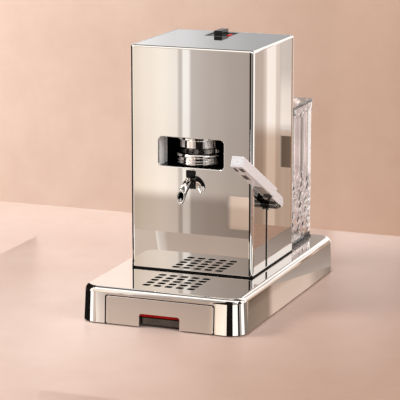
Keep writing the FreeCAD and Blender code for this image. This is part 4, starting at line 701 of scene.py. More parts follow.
@dataclass(frozen=True)
class Finish:
    """One finish of the machine: two tones of its colour, its gloss, and how they vary.

    Fields: smooth and rough, the ends of the roughness; scale, of the drift between the tones;
    bump, strength of the normal; ripple, scale of a polished sheet's unevenness; stretch, scale
    of a brushed face's lines.
    """

    slot: str
    light: Colour
    dark: Colour
    texture: Texture
    smooth: float
    rough: float
    scale: float
    bump: float
    ripple: float = 6.0
    stretch: Spot = (1.0, 1.0, 1.0)
    specular: float = 0.5
    ior: float = 1.47

    def build(self) -> None:
        """Make the material, with every texture on Object coordinates."""
        tree = Tree.of(bpy.data.materials.new(self.slot))
        where = tree.add("TexCoord").outputs["Object"]
        colour = tree.place("tone_drift", where, Scale=self.scale, Light=(*self.light, 1),
                            Dark=(*self.dark, 1))
        varied = {Texture.POLISHED: self.polished, Texture.BRUSHED: self.brushed, Texture.CLEAR: self.clear,
                  Texture.SPANGLED: self.spangled, Texture.MOULDED: self.moulded}[self.texture]
        rough, normal = varied(tree, where)
        shader = tree.add("BsdfPrincipled", None, Base_Color=colour.outputs["Color"], IOR=self.ior,
                          Metallic=self.texture.metallic, Specular_IOR_Level=self.specular, Roughness=rough,
                          Normal=normal, Transmission_Weight=float(self.texture is Texture.CLEAR))
        tree.show(shader.outputs[0])

    def handled(self, tree: Tree, where: Socket) -> Socket:
        """Roughness with wiping marks and dull patches."""
        return tree.place("handling_marks", where, Clean=self.smooth, Touched=self.rough).outputs["Roughness"]

    def polished(self, tree: Tree, where: Socket) -> tuple[Socket, Socket]:
        """Roughness and normal of a mirror face: wiping marks and a slow ripple."""
        ripple = tree.place("sheet_ripple", where, Scale=self.ripple, Strength=self.bump)
        return self.handled(tree, where), ripple.outputs["Normal"]

    def clear(self, tree: Tree, where: Socket) -> tuple[Socket, Socket]:
        """Roughness and normal of a clear moulding: wiping marks and slow waves in the wall."""
        waves = tree.place("sheet_ripple", where, Scale=self.ripple, Strength=self.bump, Height=0.004)
        return self.handled(tree, where), waves.outputs["Normal"]

    def moulded(self, tree: Tree, where: Socket) -> tuple[Socket, Socket]:
        """Roughness and normal of a moulded face: wiping marks and a fine skin."""
        skin = tree.place("moulded_skin", where, Strength=self.bump)
        return self.handled(tree, where), skin.outputs["Normal"]

    def brushed(self, tree: Tree, where: Socket) -> tuple[Socket, Socket]:
        """Roughness and normal of a satin face: fine lines in both."""
        grain = tree.place("brushed_grain", where, Stretch=self.stretch, Strength=self.bump)
        return tree.span(grain.outputs["Mask"], 0.3, 0.7, self.smooth, self.rough), grain.outputs["Normal"]

    def spangled(self, tree: Tree, where: Socket) -> tuple[Socket, Socket]:
        """Zinc coated face: crystal patches over a fine skin.

        Args:
            tree: Tree of the material.
            where: Coordinates to read the patterns at.

        Returns:
            Roughness and normal.
        """
        cells = tree.place("zinc_spangle", where).outputs["Mask"]
        skin = tree.place("moulded_skin", where, Strength=self.bump)
        return tree.span(cells, 0.2, 0.8, self.smooth, self.rough), skin.outputs["Normal"]


FINISHES = (
    Finish("mirror_steel", (0.72, 0.705, 0.685), (0.69, 0.67, 0.645), Texture.POLISHED,
           smooth=0.012, rough=0.05, scale=9.0, bump=0.10, ripple=5.0),
    Finish("chrome", (0.755, 0.725, 0.70), (0.715, 0.685, 0.66), Texture.POLISHED,
           smooth=0.015, rough=0.06, scale=14.0, bump=0.08, ripple=9.0),
    Finish("satin_steel", (0.56, 0.56, 0.57), (0.50, 0.50, 0.505), Texture.BRUSHED,
           smooth=0.22, rough=0.34, scale=30.0, bump=0.25, stretch=(1800.0, 30.0, 1800.0)),
    Finish("plate_steel", (0.66, 0.66, 0.665), (0.62, 0.62, 0.625), Texture.POLISHED,
           smooth=0.02, rough=0.06, scale=14.0, bump=0.05, ripple=7.0),
    Finish("lip_steel", (0.13, 0.125, 0.12), (0.09, 0.085, 0.08), Texture.POLISHED,
           smooth=0.25, rough=0.4, scale=40.0, bump=0.1, ripple=14.0),
    # Painted shade: a near-black copy of chrome for the lever's hub, standing in for the dark surroundings
    # that it mirrors.
    Finish("dark_hub", (0.035, 0.033, 0.031), (0.02, 0.019, 0.018), Texture.POLISHED,
           smooth=0.06, rough=0.14, scale=40.0, bump=0.1, ripple=14.0),
    # Painted shade: a darker copy of the lever arm's steel, standing in for the shaded floor that its
    # underside mirrors.
    Finish("polished_bar", (0.24, 0.22, 0.21), (0.19, 0.175, 0.165), Texture.POLISHED,
           smooth=0.10, rough=0.2, scale=40.0, bump=0.1, ripple=14.0),
    Finish("galvanised_steel", (0.52, 0.53, 0.54), (0.42, 0.43, 0.44), Texture.SPANGLED,
           smooth=0.3, rough=0.55, scale=60.0, bump=0.2),
    Finish("zinc_screws", (0.62, 0.61, 0.58), (0.50, 0.49, 0.46), Texture.BRUSHED,
           smooth=0.25, rough=0.4, scale=200.0, bump=0.3, stretch=(900.0, 900.0, 60.0)),
    Finish("white_plastic", (0.70, 0.71, 0.745), (0.67, 0.68, 0.715), Texture.MOULDED,
           smooth=0.30, rough=0.36, scale=25.0, bump=0.06),
    # Painted light: a brighter copy of white_plastic for the window's cheeks, standing in for light that the
    # window's shade keeps off them.
    Finish("cheek_white", (0.94, 0.935, 0.93), (0.91, 0.905, 0.90), Texture.MOULDED,
           smooth=0.25, rough=0.35, scale=25.0, bump=0.05),
    Finish("black_plastic", (0.006, 0.006, 0.006), (0.011, 0.0105, 0.010), Texture.MOULDED,
           smooth=0.16, rough=0.3, scale=60.0, bump=0.12, specular=0.18),
    # light_plastic is made dark: partly a dark frame, partly painted shade for the gap round the switch knob.
    Finish("light_plastic", (0.15, 0.14, 0.135), (0.12, 0.115, 0.11), Texture.MOULDED,
           smooth=0.2, rough=0.35, scale=60.0, bump=0.12, specular=0.35),
    Finish("grey_plastic", (0.085, 0.082, 0.08), (0.10, 0.097, 0.094), Texture.MOULDED,
           smooth=0.4, rough=0.55, scale=40.0, bump=0.25, specular=0.08),
    Finish("red_plastic", (0.44, 0.002, 0.001), (0.28, 0.0015, 0.001), Texture.MOULDED,
           smooth=0.16, rough=0.3, scale=40.0, bump=0.12, specular=0.12),
    Finish("red_lens", (0.70, 0.004, 0.003), (0.50, 0.003, 0.002), Texture.MOULDED,
           smooth=0.1, rough=0.2, scale=400.0, bump=0.1, specular=0.06),
    Finish("clear_plastic", (0.965, 0.94, 0.93), (0.935, 0.905, 0.895), Texture.CLEAR,
           smooth=0.02, rough=0.08, scale=20.0, bump=0.12, ripple=22.0, ior=1.49),
    Finish("white_valve", (0.74, 0.73, 0.70), (0.68, 0.67, 0.64), Texture.MOULDED,
           smooth=0.35, rough=0.5, scale=40.0, bump=0.2),
    Finish("black_rubber", (0.0045, 0.004, 0.004), (0.009, 0.0085, 0.008), Texture.MOULDED,
           smooth=0.5, rough=0.7, scale=50.0, bump=0.4, specular=0.02),
    Finish("silicone_hose", (0.62, 0.61, 0.58), (0.55, 0.54, 0.51), Texture.MOULDED,
           smooth=0.3, rough=0.45, scale=50.0, bump=0.15),
    Finish("brass", (0.72, 0.52, 0.24), (0.60, 0.42, 0.18), Texture.BRUSHED,
           smooth=0.22, rough=0.38, scale=90.0, bump=0.2, stretch=(500.0, 500.0, 60.0)),
    Finish("pump_body", (0.05, 0.05, 0.055), (0.075, 0.073, 0.07), Texture.MOULDED,
           smooth=0.3, rough=0.45, scale=50.0, bump=0.25),
)


def new_light(name: str, place: Spot, aim: Spot, side: float, watts: float, colour: Colour) -> None:
    """Square area light at a place, turned towards a point.

    Args:
        name: Name of the light.
        place: Where it stands, in metres.
        aim: The point that it faces.
        side: Its side, in metres.
        watts: Its power.
        colour: Its colour.
    """
    data = bpy.data.lights.new(name, "AREA")
    data.shape = "RECTANGLE"
    data.size = data.size_y = side
    data.energy = watts
    data.color = colour
    light = bpy.data.objects.new(name, data)
    light.location = place
    light.rotation_euler = (Vector(aim) - Vector(place)).to_track_quat("-Z", "Y").to_euler()
    bpy.context.scene.collection.objects.link(light)


def stage_sheet(name: str, corners: Sequence[Spot]) -> tuple[bpy.types.Object, Tree]:
    """Flat sheet of the stage, with a new material.

    Args:
        name: Name of the sheet and its material.
        corners: Its four corners, in metres.

    Returns:
        The sheet, and the empty node tree of its material.
    """
    mesh = bpy.data.meshes.new(name)
    mesh.from_pydata([tuple(corner) for corner in corners], [], [(0, 1, 2, 3)])
    sheet = bpy.data.objects.new(name, mesh)
    bpy.context.scene.collection.objects.link(sheet)
    material = bpy.data.materials.new(name)
    mesh.materials.append(material)
    return sheet, Tree.of(material)


def even(red: float, green: float, blue: float) -> Stops:
    """One tone from end to end."""
    return (0.0, red, green, blue), (1.0, red, green, blue)


def greys(*stops: tuple[float, float]) -> Stops:
    """Neutral tones from pairs of place and level."""
    return tuple((place, level, level, level) for place, level in stops)


@dataclass(frozen=True)
class Card:
    """A soft light card that only polished faces see.

    Fields: corners in metres; tones, stops (place from 0 to 1 along the card's first side, red,
    green, blue) joined smoothly; rises, stops along its second side that the tones are
    multiplied by; one_sided, whether its back is clear; mirrored, whether polished faces show
    it, or clear ones alone.
    """

    name: str
    corners: tuple[Spot, Spot, Spot, Spot]
    tones: Stops
    rises: Stops = even(1.0, 1.0, 1.0)
    one_sided: bool = False
    mirrored: bool = True

    def build(self) -> None:
        """Make the card: an emitter that neither the camera nor dull faces see."""
        card, tree = stage_sheet(self.name, self.corners)
        layer = card.data.uv_layers.new(name="UVMap")
        layer.data.foreach_set("uv", (0.0, 0.0, 1.0, 0.0, 1.0, 1.0, 0.0, 1.0))
        sides = tree.add("SeparateXYZ", None, Vector=tree.add("UVMap", {"uv_map": layer.name}).outputs[0])
        tone = tree.mix(1.0, self.ramp(tree, sides.outputs["X"], self.tones),
                        self.ramp(tree, sides.outputs["Y"], self.rises), "MULTIPLY")
        tree.show(tree.add("Emission", None, Color=tone, Strength=1.0).outputs[0], self.one_sided)
        card.visible_camera = card.visible_diffuse = card.visible_shadow = False
        card.visible_volume_scatter = False
        card.visible_glossy = self.mirrored

    @staticmethod
    def ramp(tree: Tree, value: Socket, stops: Stops) -> Socket:
        """Colours joined smoothly along a value.

        Args:
            tree: The tree of the material.
            value: Place from 0 to 1.
            stops: The first stop, those between, and the last.

        Returns:
            The colour.
        """
        node = tree.add("ValToRGB", None, Fac=value)
        node.color_ramp.interpolation = "EASE"
        ends = node.color_ramp.elements
        for end, (place, *tone) in zip(ends, (stops[0], stops[-1])):
            end.position, end.color = place, (*tone, 1)
        for place, *tone in stops[1:-1]:
            ends.new(place).color = (*tone, 1)
        return node.outputs[0]


def wall_card(name: str, start: tuple[float, float], end: tuple[float, float], low: float, high: float,
              tones: Stops, rises: Stops = even(1.0, 1.0, 1.0), mirrored: bool = True) -> Card:
    """Upright card over a line on the floor, from its start to its end, (x, y) in metres."""
    corners = ((*start, low), (*end, low), (*end, high), (*start, high))
    return Card(name, corners, tones, rises, mirrored=mirrored)


def flat_card(name: str, height: float, spots: Sequence[tuple[float, float]], tones: Stops,
              rises: Stops = even(1.0, 1.0, 1.0), one_sided: bool = True) -> Card:
    """Level card over four spots (x, y) in metres; it looks up where they run anticlockwise."""
    return Card(name, tuple((*spot, height) for spot in spots), tones, rises, one_sided)


@dataclass(frozen=True)
class CornerBands:
    """Flat cards that a base corner mirrors as upright bands: a fan of strips on the worktop.

    Formula: at the angle f round the corner the point is centre + radius * n with n = (cos f,
    sin f); the line of sight d to it is mirrored to d - 2 (d . n) n; a strip runs between two of
    these lines.

    Fields: centre and radius of the corner, in metres; first, the angle in degrees where the
    first band starts; bands, the angle where each one ends, and its colour; viewer, where the
    lines of sight start; reach, length of the strips.
    """

    name: str
    centre: tuple[float, float]
    first: float
    bands: Stops
    viewer: tuple[float, float]
    radius: float = 0.022
    reach: float = 0.34
    height: float = 0.0006

    def build(self) -> None:
        """Make one flat card for each band."""
        starts = (self.first, *(angle for angle, *_ in self.bands))
        for index, (start, (end, *tone)) in enumerate(zip(starts, self.bands)):
            near, far = zip(self.line(start), self.line(end))
            flat_card(f"{self.name}_{index}", self.height, (near[0], far[0], far[1], near[1]),
                      even(*tone)).build()

    def line(self, angle: float) -> tuple[np.ndarray, np.ndarray]:
        """Mirrored line at one angle round the corner.

        Args:
            angle: Angle of the corner's normal, in degrees.

        Returns:
            Start and end of the line, (x, y) in metres.
        """
        normal = np.array([math.cos(math.radians(angle)), math.sin(math.radians(angle))])
        start = np.array(self.centre) + self.radius * normal
        sight = start - np.array(self.viewer)
        sight /= np.linalg.norm(sight)
        return start, start + self.reach * (sight - 2 * (sight @ normal) * normal)


# What the body, the base and the tank show of the room: plain walls, doors and windows.
ROOM_CARDS = (
    wall_card("window_wall", (-0.36, -0.44), (-0.035, -0.44), 0.0, 0.42,
        ((0.0, 1.15, 1.03, 0.92), (0.4, 1.17, 1.02, 0.87), (0.46, 1.27, 1.13, 1.0), (0.53, 1.32, 1.2, 1.08),
         (0.6, 1.23, 1.13, 1.05), (0.612, 0.82, 0.74, 0.68), (0.622, 0.82, 0.74, 0.68),
         (0.63, 1.3, 1.25, 1.2), (0.653, 1.28, 1.22, 1.17), (0.668, 0.74, 0.67, 0.63),
         (0.76, 0.66, 0.575, 0.525), (0.86, 0.585, 0.505, 0.455), (0.95, 0.54, 0.46, 0.41),
         (1.0, 0.4, 0.34, 0.3)),
        ((0.0, 0.62, 0.56, 0.52), (0.105, 0.6, 0.54, 0.5), (0.155, 1.02, 0.99, 0.96),
         (0.3, 0.98, 0.97, 0.96), (0.45, 1.0, 1.0, 1.0), (1.0, 1.0, 1.0, 1.0))),
    wall_card("lit_patch", (-0.09, -0.439), (-0.034, -0.439), 0.013, 0.0595,
        ((0.0, 0.37, 0.29, 0.245), (0.14, 0.76, 0.57, 0.45), (0.7, 0.8, 0.6, 0.47), (1.0, 0.78, 0.58, 0.46)),
        ((0.0, 0.85, 0.83, 0.82), (0.15, 0.98, 0.97, 0.96), (0.55, 1.0, 1.0, 1.0), (0.8, 1.28, 1.32, 1.38),
         (1.0, 1.3, 1.34, 1.42))),
    wall_card("dark_door", (-0.03, -0.44), (0.79, -0.44), 0.0, 0.5,
        ((0.0, 0.015, 0.012, 0.01), (0.36, 0.015, 0.012, 0.01), (0.39, 0.42, 0.39, 0.37),
         (0.8, 0.5, 0.48, 0.47), (0.9, 0.3, 0.28, 0.27), (1.0, 0.04, 0.035, 0.03))),
    wall_card("bright_door", (0.8, -0.42), (0.8, 0.36), 0.0, 0.6,
        ((0.0, 0.04, 0.035, 0.03), (0.42, 0.06, 0.055, 0.05), (0.5, 1.5, 1.46, 1.42),
         (1.0, 1.7, 1.66, 1.62))),
    wall_card("left_door", (-0.34, -0.27), (-0.34, 0.2), 0.0, 0.5, even(0.015, 0.012, 0.01)),
    wall_card("left_window", (-0.36, -0.44), (-0.34, -0.275), 0.0, 0.5,
        ((0.0, 1.3, 1.22, 1.12), (0.5, 1.45, 1.38, 1.3), (1.0, 1.45, 1.38, 1.3))),
    wall_card("side_wall", (0.187, 0.38), (0.4, 0.38), 0.0, 0.33,
        ((0.0, 0.97, 0.83, 0.74), (0.03, 0.95, 0.81, 0.72), (0.055, 0.99, 0.85, 0.78),
         (0.08, 0.93, 0.79, 0.72), (0.102, 0.96, 0.8, 0.7), (0.115, 1.3, 1.15, 1.06),
         (0.165, 1.3, 1.16, 1.08), (0.18, 0.9, 0.76, 0.67), (0.205, 0.7, 0.57, 0.495),
         (0.262, 0.68, 0.55, 0.48), (0.285, 1.6, 1.52, 1.48), (1.0, 1.7, 1.6, 1.56)),
        ((0.0, 0.62, 0.52, 0.44), (0.28, 0.64, 0.53, 0.45), (0.38, 0.66, 0.56, 0.48), (0.46, 1.0, 1.0, 1.0),
         (1.0, 1.0, 1.0, 1.0))),
    wall_card("side_door", (0.1868, 0.3795), (0.2035, 0.3795), 0.086, 0.131,
        ((0.0, 0.2, 0.14, 0.1), (0.8, 0.17, 0.12, 0.085), (0.93, 0.45, 0.36, 0.29), (1.0, 0.62, 0.52, 0.45))),
    wall_card("side_window", (0.1868, 0.3795), (0.2035, 0.3795), 0.14, 0.33,
        ((0.0, 1.1, 0.97, 0.88), (0.88, 1.15, 1.01, 0.92), (1.0, 0.97, 0.83, 0.74)),
        ((0.0, 0.8, 0.8, 0.82), (0.06, 1.05, 1.05, 1.06), (0.22, 1.0, 1.0, 1.0), (0.48, 0.74, 0.73, 0.73),
         (1.0, 0.7, 0.7, 0.7))),
    wall_card("far_wall", (0.401, 0.38), (1.05, 0.38), 0.0, 0.33,
        ((0.0, 1.75, 1.7, 1.66), (0.3, 1.7, 1.65, 1.6), (0.36, 0.9, 0.85, 0.8), (1.0, 0.8, 0.75, 0.7))),
    flat_card("strip_sky", 0.1, ((0.13, 0.1), (0.13, 0.38), (0.26, 0.38), (0.26, 0.1)),
        even(1.35, 1.28, 1.24)),
    wall_card("fillet_wall", (-0.02, 0.38), (0.185, 0.38), 0.0, 0.33,
        ((0.0, 0.46, 0.38, 0.33), (0.22, 0.52, 0.44, 0.39), (0.3, 1.5, 1.44, 1.4), (0.76, 1.7, 1.63, 1.57),
         (0.81, 0.5, 0.41, 0.39), (0.95, 0.46, 0.37, 0.35), (1.0, 0.9, 0.84, 0.8))),
    wall_card("left_wall", (-0.8, 0.382), (-0.18, 0.382), 0.0, 0.33,
        ((0.0, 1.3, 1.1, 0.98), (0.8, 1.3, 1.08, 0.96), (1.0, 0.95, 0.8, 0.7))),
    wall_card("tank_wall", (-0.16, 0.383), (0.1, 0.383), 0.0, 0.36,
        ((0.0, 0.46, 0.37, 0.36), (0.14, 0.5, 0.4, 0.4), (0.25, 0.78, 0.63, 0.6), (0.28, 2.0, 1.9, 1.85),
         (0.31, 0.76, 0.61, 0.58), (0.42, 0.56, 0.46, 0.46), (0.5, 0.82, 0.66, 0.62), (0.54, 2.0, 1.9, 1.85),
         (0.57, 0.72, 0.58, 0.55), (0.64, 0.56, 0.46, 0.46), (0.7, 2.0, 1.9, 1.85), (0.73, 0.72, 0.58, 0.55),
         (0.84, 0.42, 0.35, 0.35), (1.0, 0.34, 0.29, 0.3)),
        greys((0.0, 1.0), (0.08, 0.75), (0.16, 1.3), (0.22, 0.8), (0.3, 1.2), (0.38, 0.85), (0.5, 1.05),
              (1.0, 1.0)), mirrored=False),
    wall_card("high_wall", (-1.0, 0.38), (0.6, 0.38), 0.33, 0.85,
        ((0.0, 1.1, 1.07, 1.06), (0.456, 1.08, 1.05, 1.04), (0.5, 0.88, 0.86, 0.855),
         (0.545, 0.62, 0.6, 0.6), (0.575, 0.53, 0.51, 0.51), (0.645, 0.48, 0.47, 0.47),
         (0.7, 1.5, 1.46, 1.42), (1.0, 1.6, 1.55, 1.5))),
    wall_card("upper_wall", (-2.0, 0.38), (2.0, 0.38), 0.85, 1.3,
        ((0.0, 0.2, 0.18, 0.17), (1.0, 0.14, 0.13, 0.12))),
    wall_card("sky_wall", (-2.0, 0.38), (2.0, 0.38), 1.3, 2.4,
        ((0.0, 0.2, 0.18, 0.17), (1.0, 0.14, 0.13, 0.12))),
    flat_card("sky", 2.4, ((-2.5, -0.5), (2.5, -0.5), (2.5, 0.38), (-2.5, 0.38)),
        even(0.24, 0.22, 0.21),
        greys((0.0, 2.2), (0.4, 1.0), (1.0, 0.8)), one_sided=False),
    flat_card("ceiling", 2.4, ((-2.5, -2.2), (2.5, -2.2), (2.5, -0.5), (-2.5, -0.5)),
        even(1.8, 1.76, 1.72),
        ((0.0, 0.9, 0.88, 0.85), (0.5, 1.0, 1.0, 1.0), (1.0, 1.0, 1.0, 1.0)), one_sided=False),
    wall_card("front_window", (-1.9, -2.2), (0.3, -2.2), 0.95, 2.4,
        ((0.0, 0.95, 0.82, 0.66), (1.0, 0.9, 0.78, 0.64)),
        ((0.0, 0.8, 0.8, 0.8), (0.5, 1.0, 1.0, 1.0), (1.0, 1.3, 1.3, 1.35))),
)

# What the base and the body show of the worktop close to them.
FLOOR_CARDS = (
    flat_card("drawer_floor", 0.0008,
        ((-0.1979, -0.4395), (-0.0159, -0.4395), (0.0815, -0.181), (-0.0815, -0.181)),
        ((0.0, 1.25, 1.1, 1.0), (0.05, 1.0, 0.84, 0.75), (0.11, 0.77, 0.6, 0.51), (0.45, 0.74, 0.57, 0.475),
         (0.88, 0.68, 0.52, 0.43), (0.925, 0.85, 0.67, 0.55), (0.945, 1.5, 1.26, 1.04),
         (1.0, 1.55, 1.36, 1.18)),
        ((0.0, 0.84, 0.86, 0.87), (1.0, 1.0, 1.0, 1.0))),
    flat_card("near_floor", 0.0005, ((-0.3, -0.44), (0.03, -0.44), (0.03, -0.19), (-0.3, -0.19)),
        ((0.0, 0.82, 0.67, 0.57), (0.38, 0.78, 0.63, 0.53), (0.5, 0.6, 0.48, 0.4), (1.0, 0.55, 0.44, 0.37))),
    flat_card("side_floor", 0.0006, ((0.187, 0.073), (0.176, 0.384), (0.1045, 0.157), (0.1045, -0.157)),
        ((0.0, 0.34, 0.25, 0.19), (0.22, 0.4, 0.29, 0.22), (0.3, 0.9, 0.69, 0.57), (0.7, 0.86, 0.67, 0.56),
         (0.85, 0.56, 0.43, 0.35), (1.0, 0.36, 0.28, 0.23)),
        ((0.0, 0.42, 0.37, 0.33), (0.3, 0.5, 0.45, 0.41), (0.42, 0.75, 0.72, 0.7), (0.6, 0.96, 0.96, 0.96),
         (1.0, 1.0, 1.0, 1.0))),
    flat_card("far_floor", 0.0008, ((0.187, 0.017), (0.187, 0.384), (0.108, 0.384), (0.108, 0.196)),
        ((0.0, 0.54, 0.45, 0.4), (0.5, 0.47, 0.38, 0.33), (1.0, 0.34, 0.255, 0.21))),
)

# End angle and colour of each band that the base's two front corners show.
RIGHT_BANDS = ((-82.0, 1.45, 1.27, 1.1), (-62.7, 0.012, 0.011, 0.01), (-46.2, 1.55, 1.5, 1.45),
               (-39.8, 0.012, 0.011, 0.01), (-33.0, 0.5, 0.47, 0.44), (-21.5, 1.7, 1.64, 1.58),
               (-1.0, 0.3, 0.25, 0.21))
LEFT_BANDS = ((-109.5, 0.012, 0.011, 0.01), (-98.0, 1.8, 1.7, 1.62), (-90.0, 0.82, 0.67, 0.57))


@dataclass(frozen=True)
class StageTone:
    """Stage material: slow mottling between two tones, and painted shade that darkens it towards the right.

    Fields: right, the painted shade that the colour is multiplied by at the right; span, the x in metres
    between which that comes in; one_sided, whether the sheet is clear from behind.
    """

    light: Colour
    dark: Colour
    right: Colour
    span: tuple[float, float]
    rough: float
    one_sided: bool = False

    def fill(self, tree: Tree) -> None:
        """Fill the tree of a stage sheet's material.

        Args:
            tree: The material's empty tree.
        """
        where = tree.add("TexCoord").outputs["Object"]
        noise = tree.add("TexNoise", None, Vector=where, Scale=9.0, Detail=6.0, Roughness=0.65)
        mottled = tree.mix(tree.span(noise.outputs["Fac"], 0.35, 0.7), (*self.light, 1), (*self.dark, 1))
        side = tree.add("SeparateXYZ", None, Vector=where).outputs["X"]
        # Painted shade: the mottled colour darkens towards the right.
        shade = tree.mix(tree.span(side, *self.span), mottled, (*self.right, 1), "MULTIPLY")
        shader = tree.add("BsdfPrincipled", None, Roughness=self.rough, Base_Color=shade)
        tree.show(shader.outputs[0], self.one_sided)


@dataclass(frozen=True)
class Studio:
    """Camera, pale worktop and wall with painted shade to the right, soft lights and the cards that the
    polished faces show.
    """

    camera_place: Spot = (0.91338, -2.38648, 0.68077)
    camera_tilt: float = 77.61
    camera_turn: float = 21.32
    lens: float = 190.2
    sheet_half: float = 6.0
    wall_y: float = 0.385
    # The third tone of floor and wall is painted shade, darker to the right.
    floor: StageTone = StageTone((0.80, 0.655, 0.595), (0.735, 0.575, 0.51), (0.50, 0.36, 0.275),
                                 (-0.12, 0.30), 0.42)
    wall: StageTone = StageTone((0.83, 0.68, 0.59), (0.76, 0.60, 0.51), (0.66, 0.55, 0.475),
                                (-0.5, 0.15), 0.7, one_sided=True)
    backdrop: Colour = (0.86, 0.72, 0.62)
    ambient_tone: Colour = (1.0, 0.975, 0.96)
    ambient: float = 0.47
    key: float = 43.0
    fill: float = 30.0
    front: float = 4.0

    def build(self) -> None:
        """Make all of the stage."""
        self.place_camera()
        self.lay_sheets()
        self.hang_world()
        new_light("key", (-1.7, -0.9, 1.9), (0, 0, 0.1), 1.0, self.key, (1.0, 0.96, 0.92))
        new_light("fill", (2.1, -0.8, 1.15), (0, 0, 0.15), 1.5, self.fill, (1.0, 0.98, 0.96))
        new_light("front", (1.1, -1.45, 0.42), (0, -0.07, 0.19), 0.5, self.front, (1.0, 0.98, 0.97))
        for card in (*ROOM_CARDS, *FLOOR_CARDS):
            card.build()
        CornerBands("right_corner", (0.0815, -0.157), -90.0, RIGHT_BANDS, self.camera_place[:2]).build()
        CornerBands("left_corner", (-0.0815, -0.157), -158.0, LEFT_BANDS, self.camera_place[:2]).build()

    def place_camera(self) -> None:
        """Camera at the photograph's viewing angle."""
        data = bpy.data.cameras.new("camera")
        data.sensor_width = 36.0
        data.lens = self.lens
        data.clip_start, data.clip_end = 0.05, 60.0
        camera = bpy.data.objects.new("camera", data)
        camera.location = self.camera_place
        camera.rotation_euler = (math.radians(self.camera_tilt), 0.0, math.radians(self.camera_turn))
        bpy.context.scene.collection.objects.link(camera)
        bpy.context.scene.camera = camera
        bpy.context.scene.view_settings.view_transform = "Standard"

    def lay_sheets(self) -> None:
        """Pale worktop, and the wall behind it, which is clear from its back; both carry painted shade to the
        right.
        """
        half, y = self.sheet_half, self.wall_y
        corners = [(-half, -half, 0), (half, -half, 0), (half, half, 0), (-half, half, 0)]
        _, tree = stage_sheet("floor", corners)
        self.floor.fill(tree)
        wall, tree = stage_sheet("wall", [(-half, y, 0), (half, y, 0), (half, y, half), (-half, y, half)])
        self.wall.fill(tree)
        wall.visible_shadow = False

    def hang_world(self) -> None:
        """Pale world: its colour for the camera, metal and glass, and a plain level for the rest."""
        world = bpy.data.worlds.new("studio")
        tree = Tree.of(world)
        rays = tree.add("LightPath").outputs
        mirrored = tree.math("MAXIMUM", rays["Is Glossy Ray"], rays["Is Transmission Ray"])
        seen = tree.math("MAXIMUM", rays["Is Camera Ray"], mirrored)
        plain = tree.add("Background", None, Color=(*self.ambient_tone, 1), Strength=self.ambient).outputs[0]
        shown = tree.add("Background", None, Color=(*self.backdrop, 1), Strength=1.0).outputs[0]
        tree.add("OutputWorld", None,
                 Surface=tree.add("MixShader", None, Fac=seen, _1=plain, _2=shown).outputs[0])
        bpy.context.scene.world = world


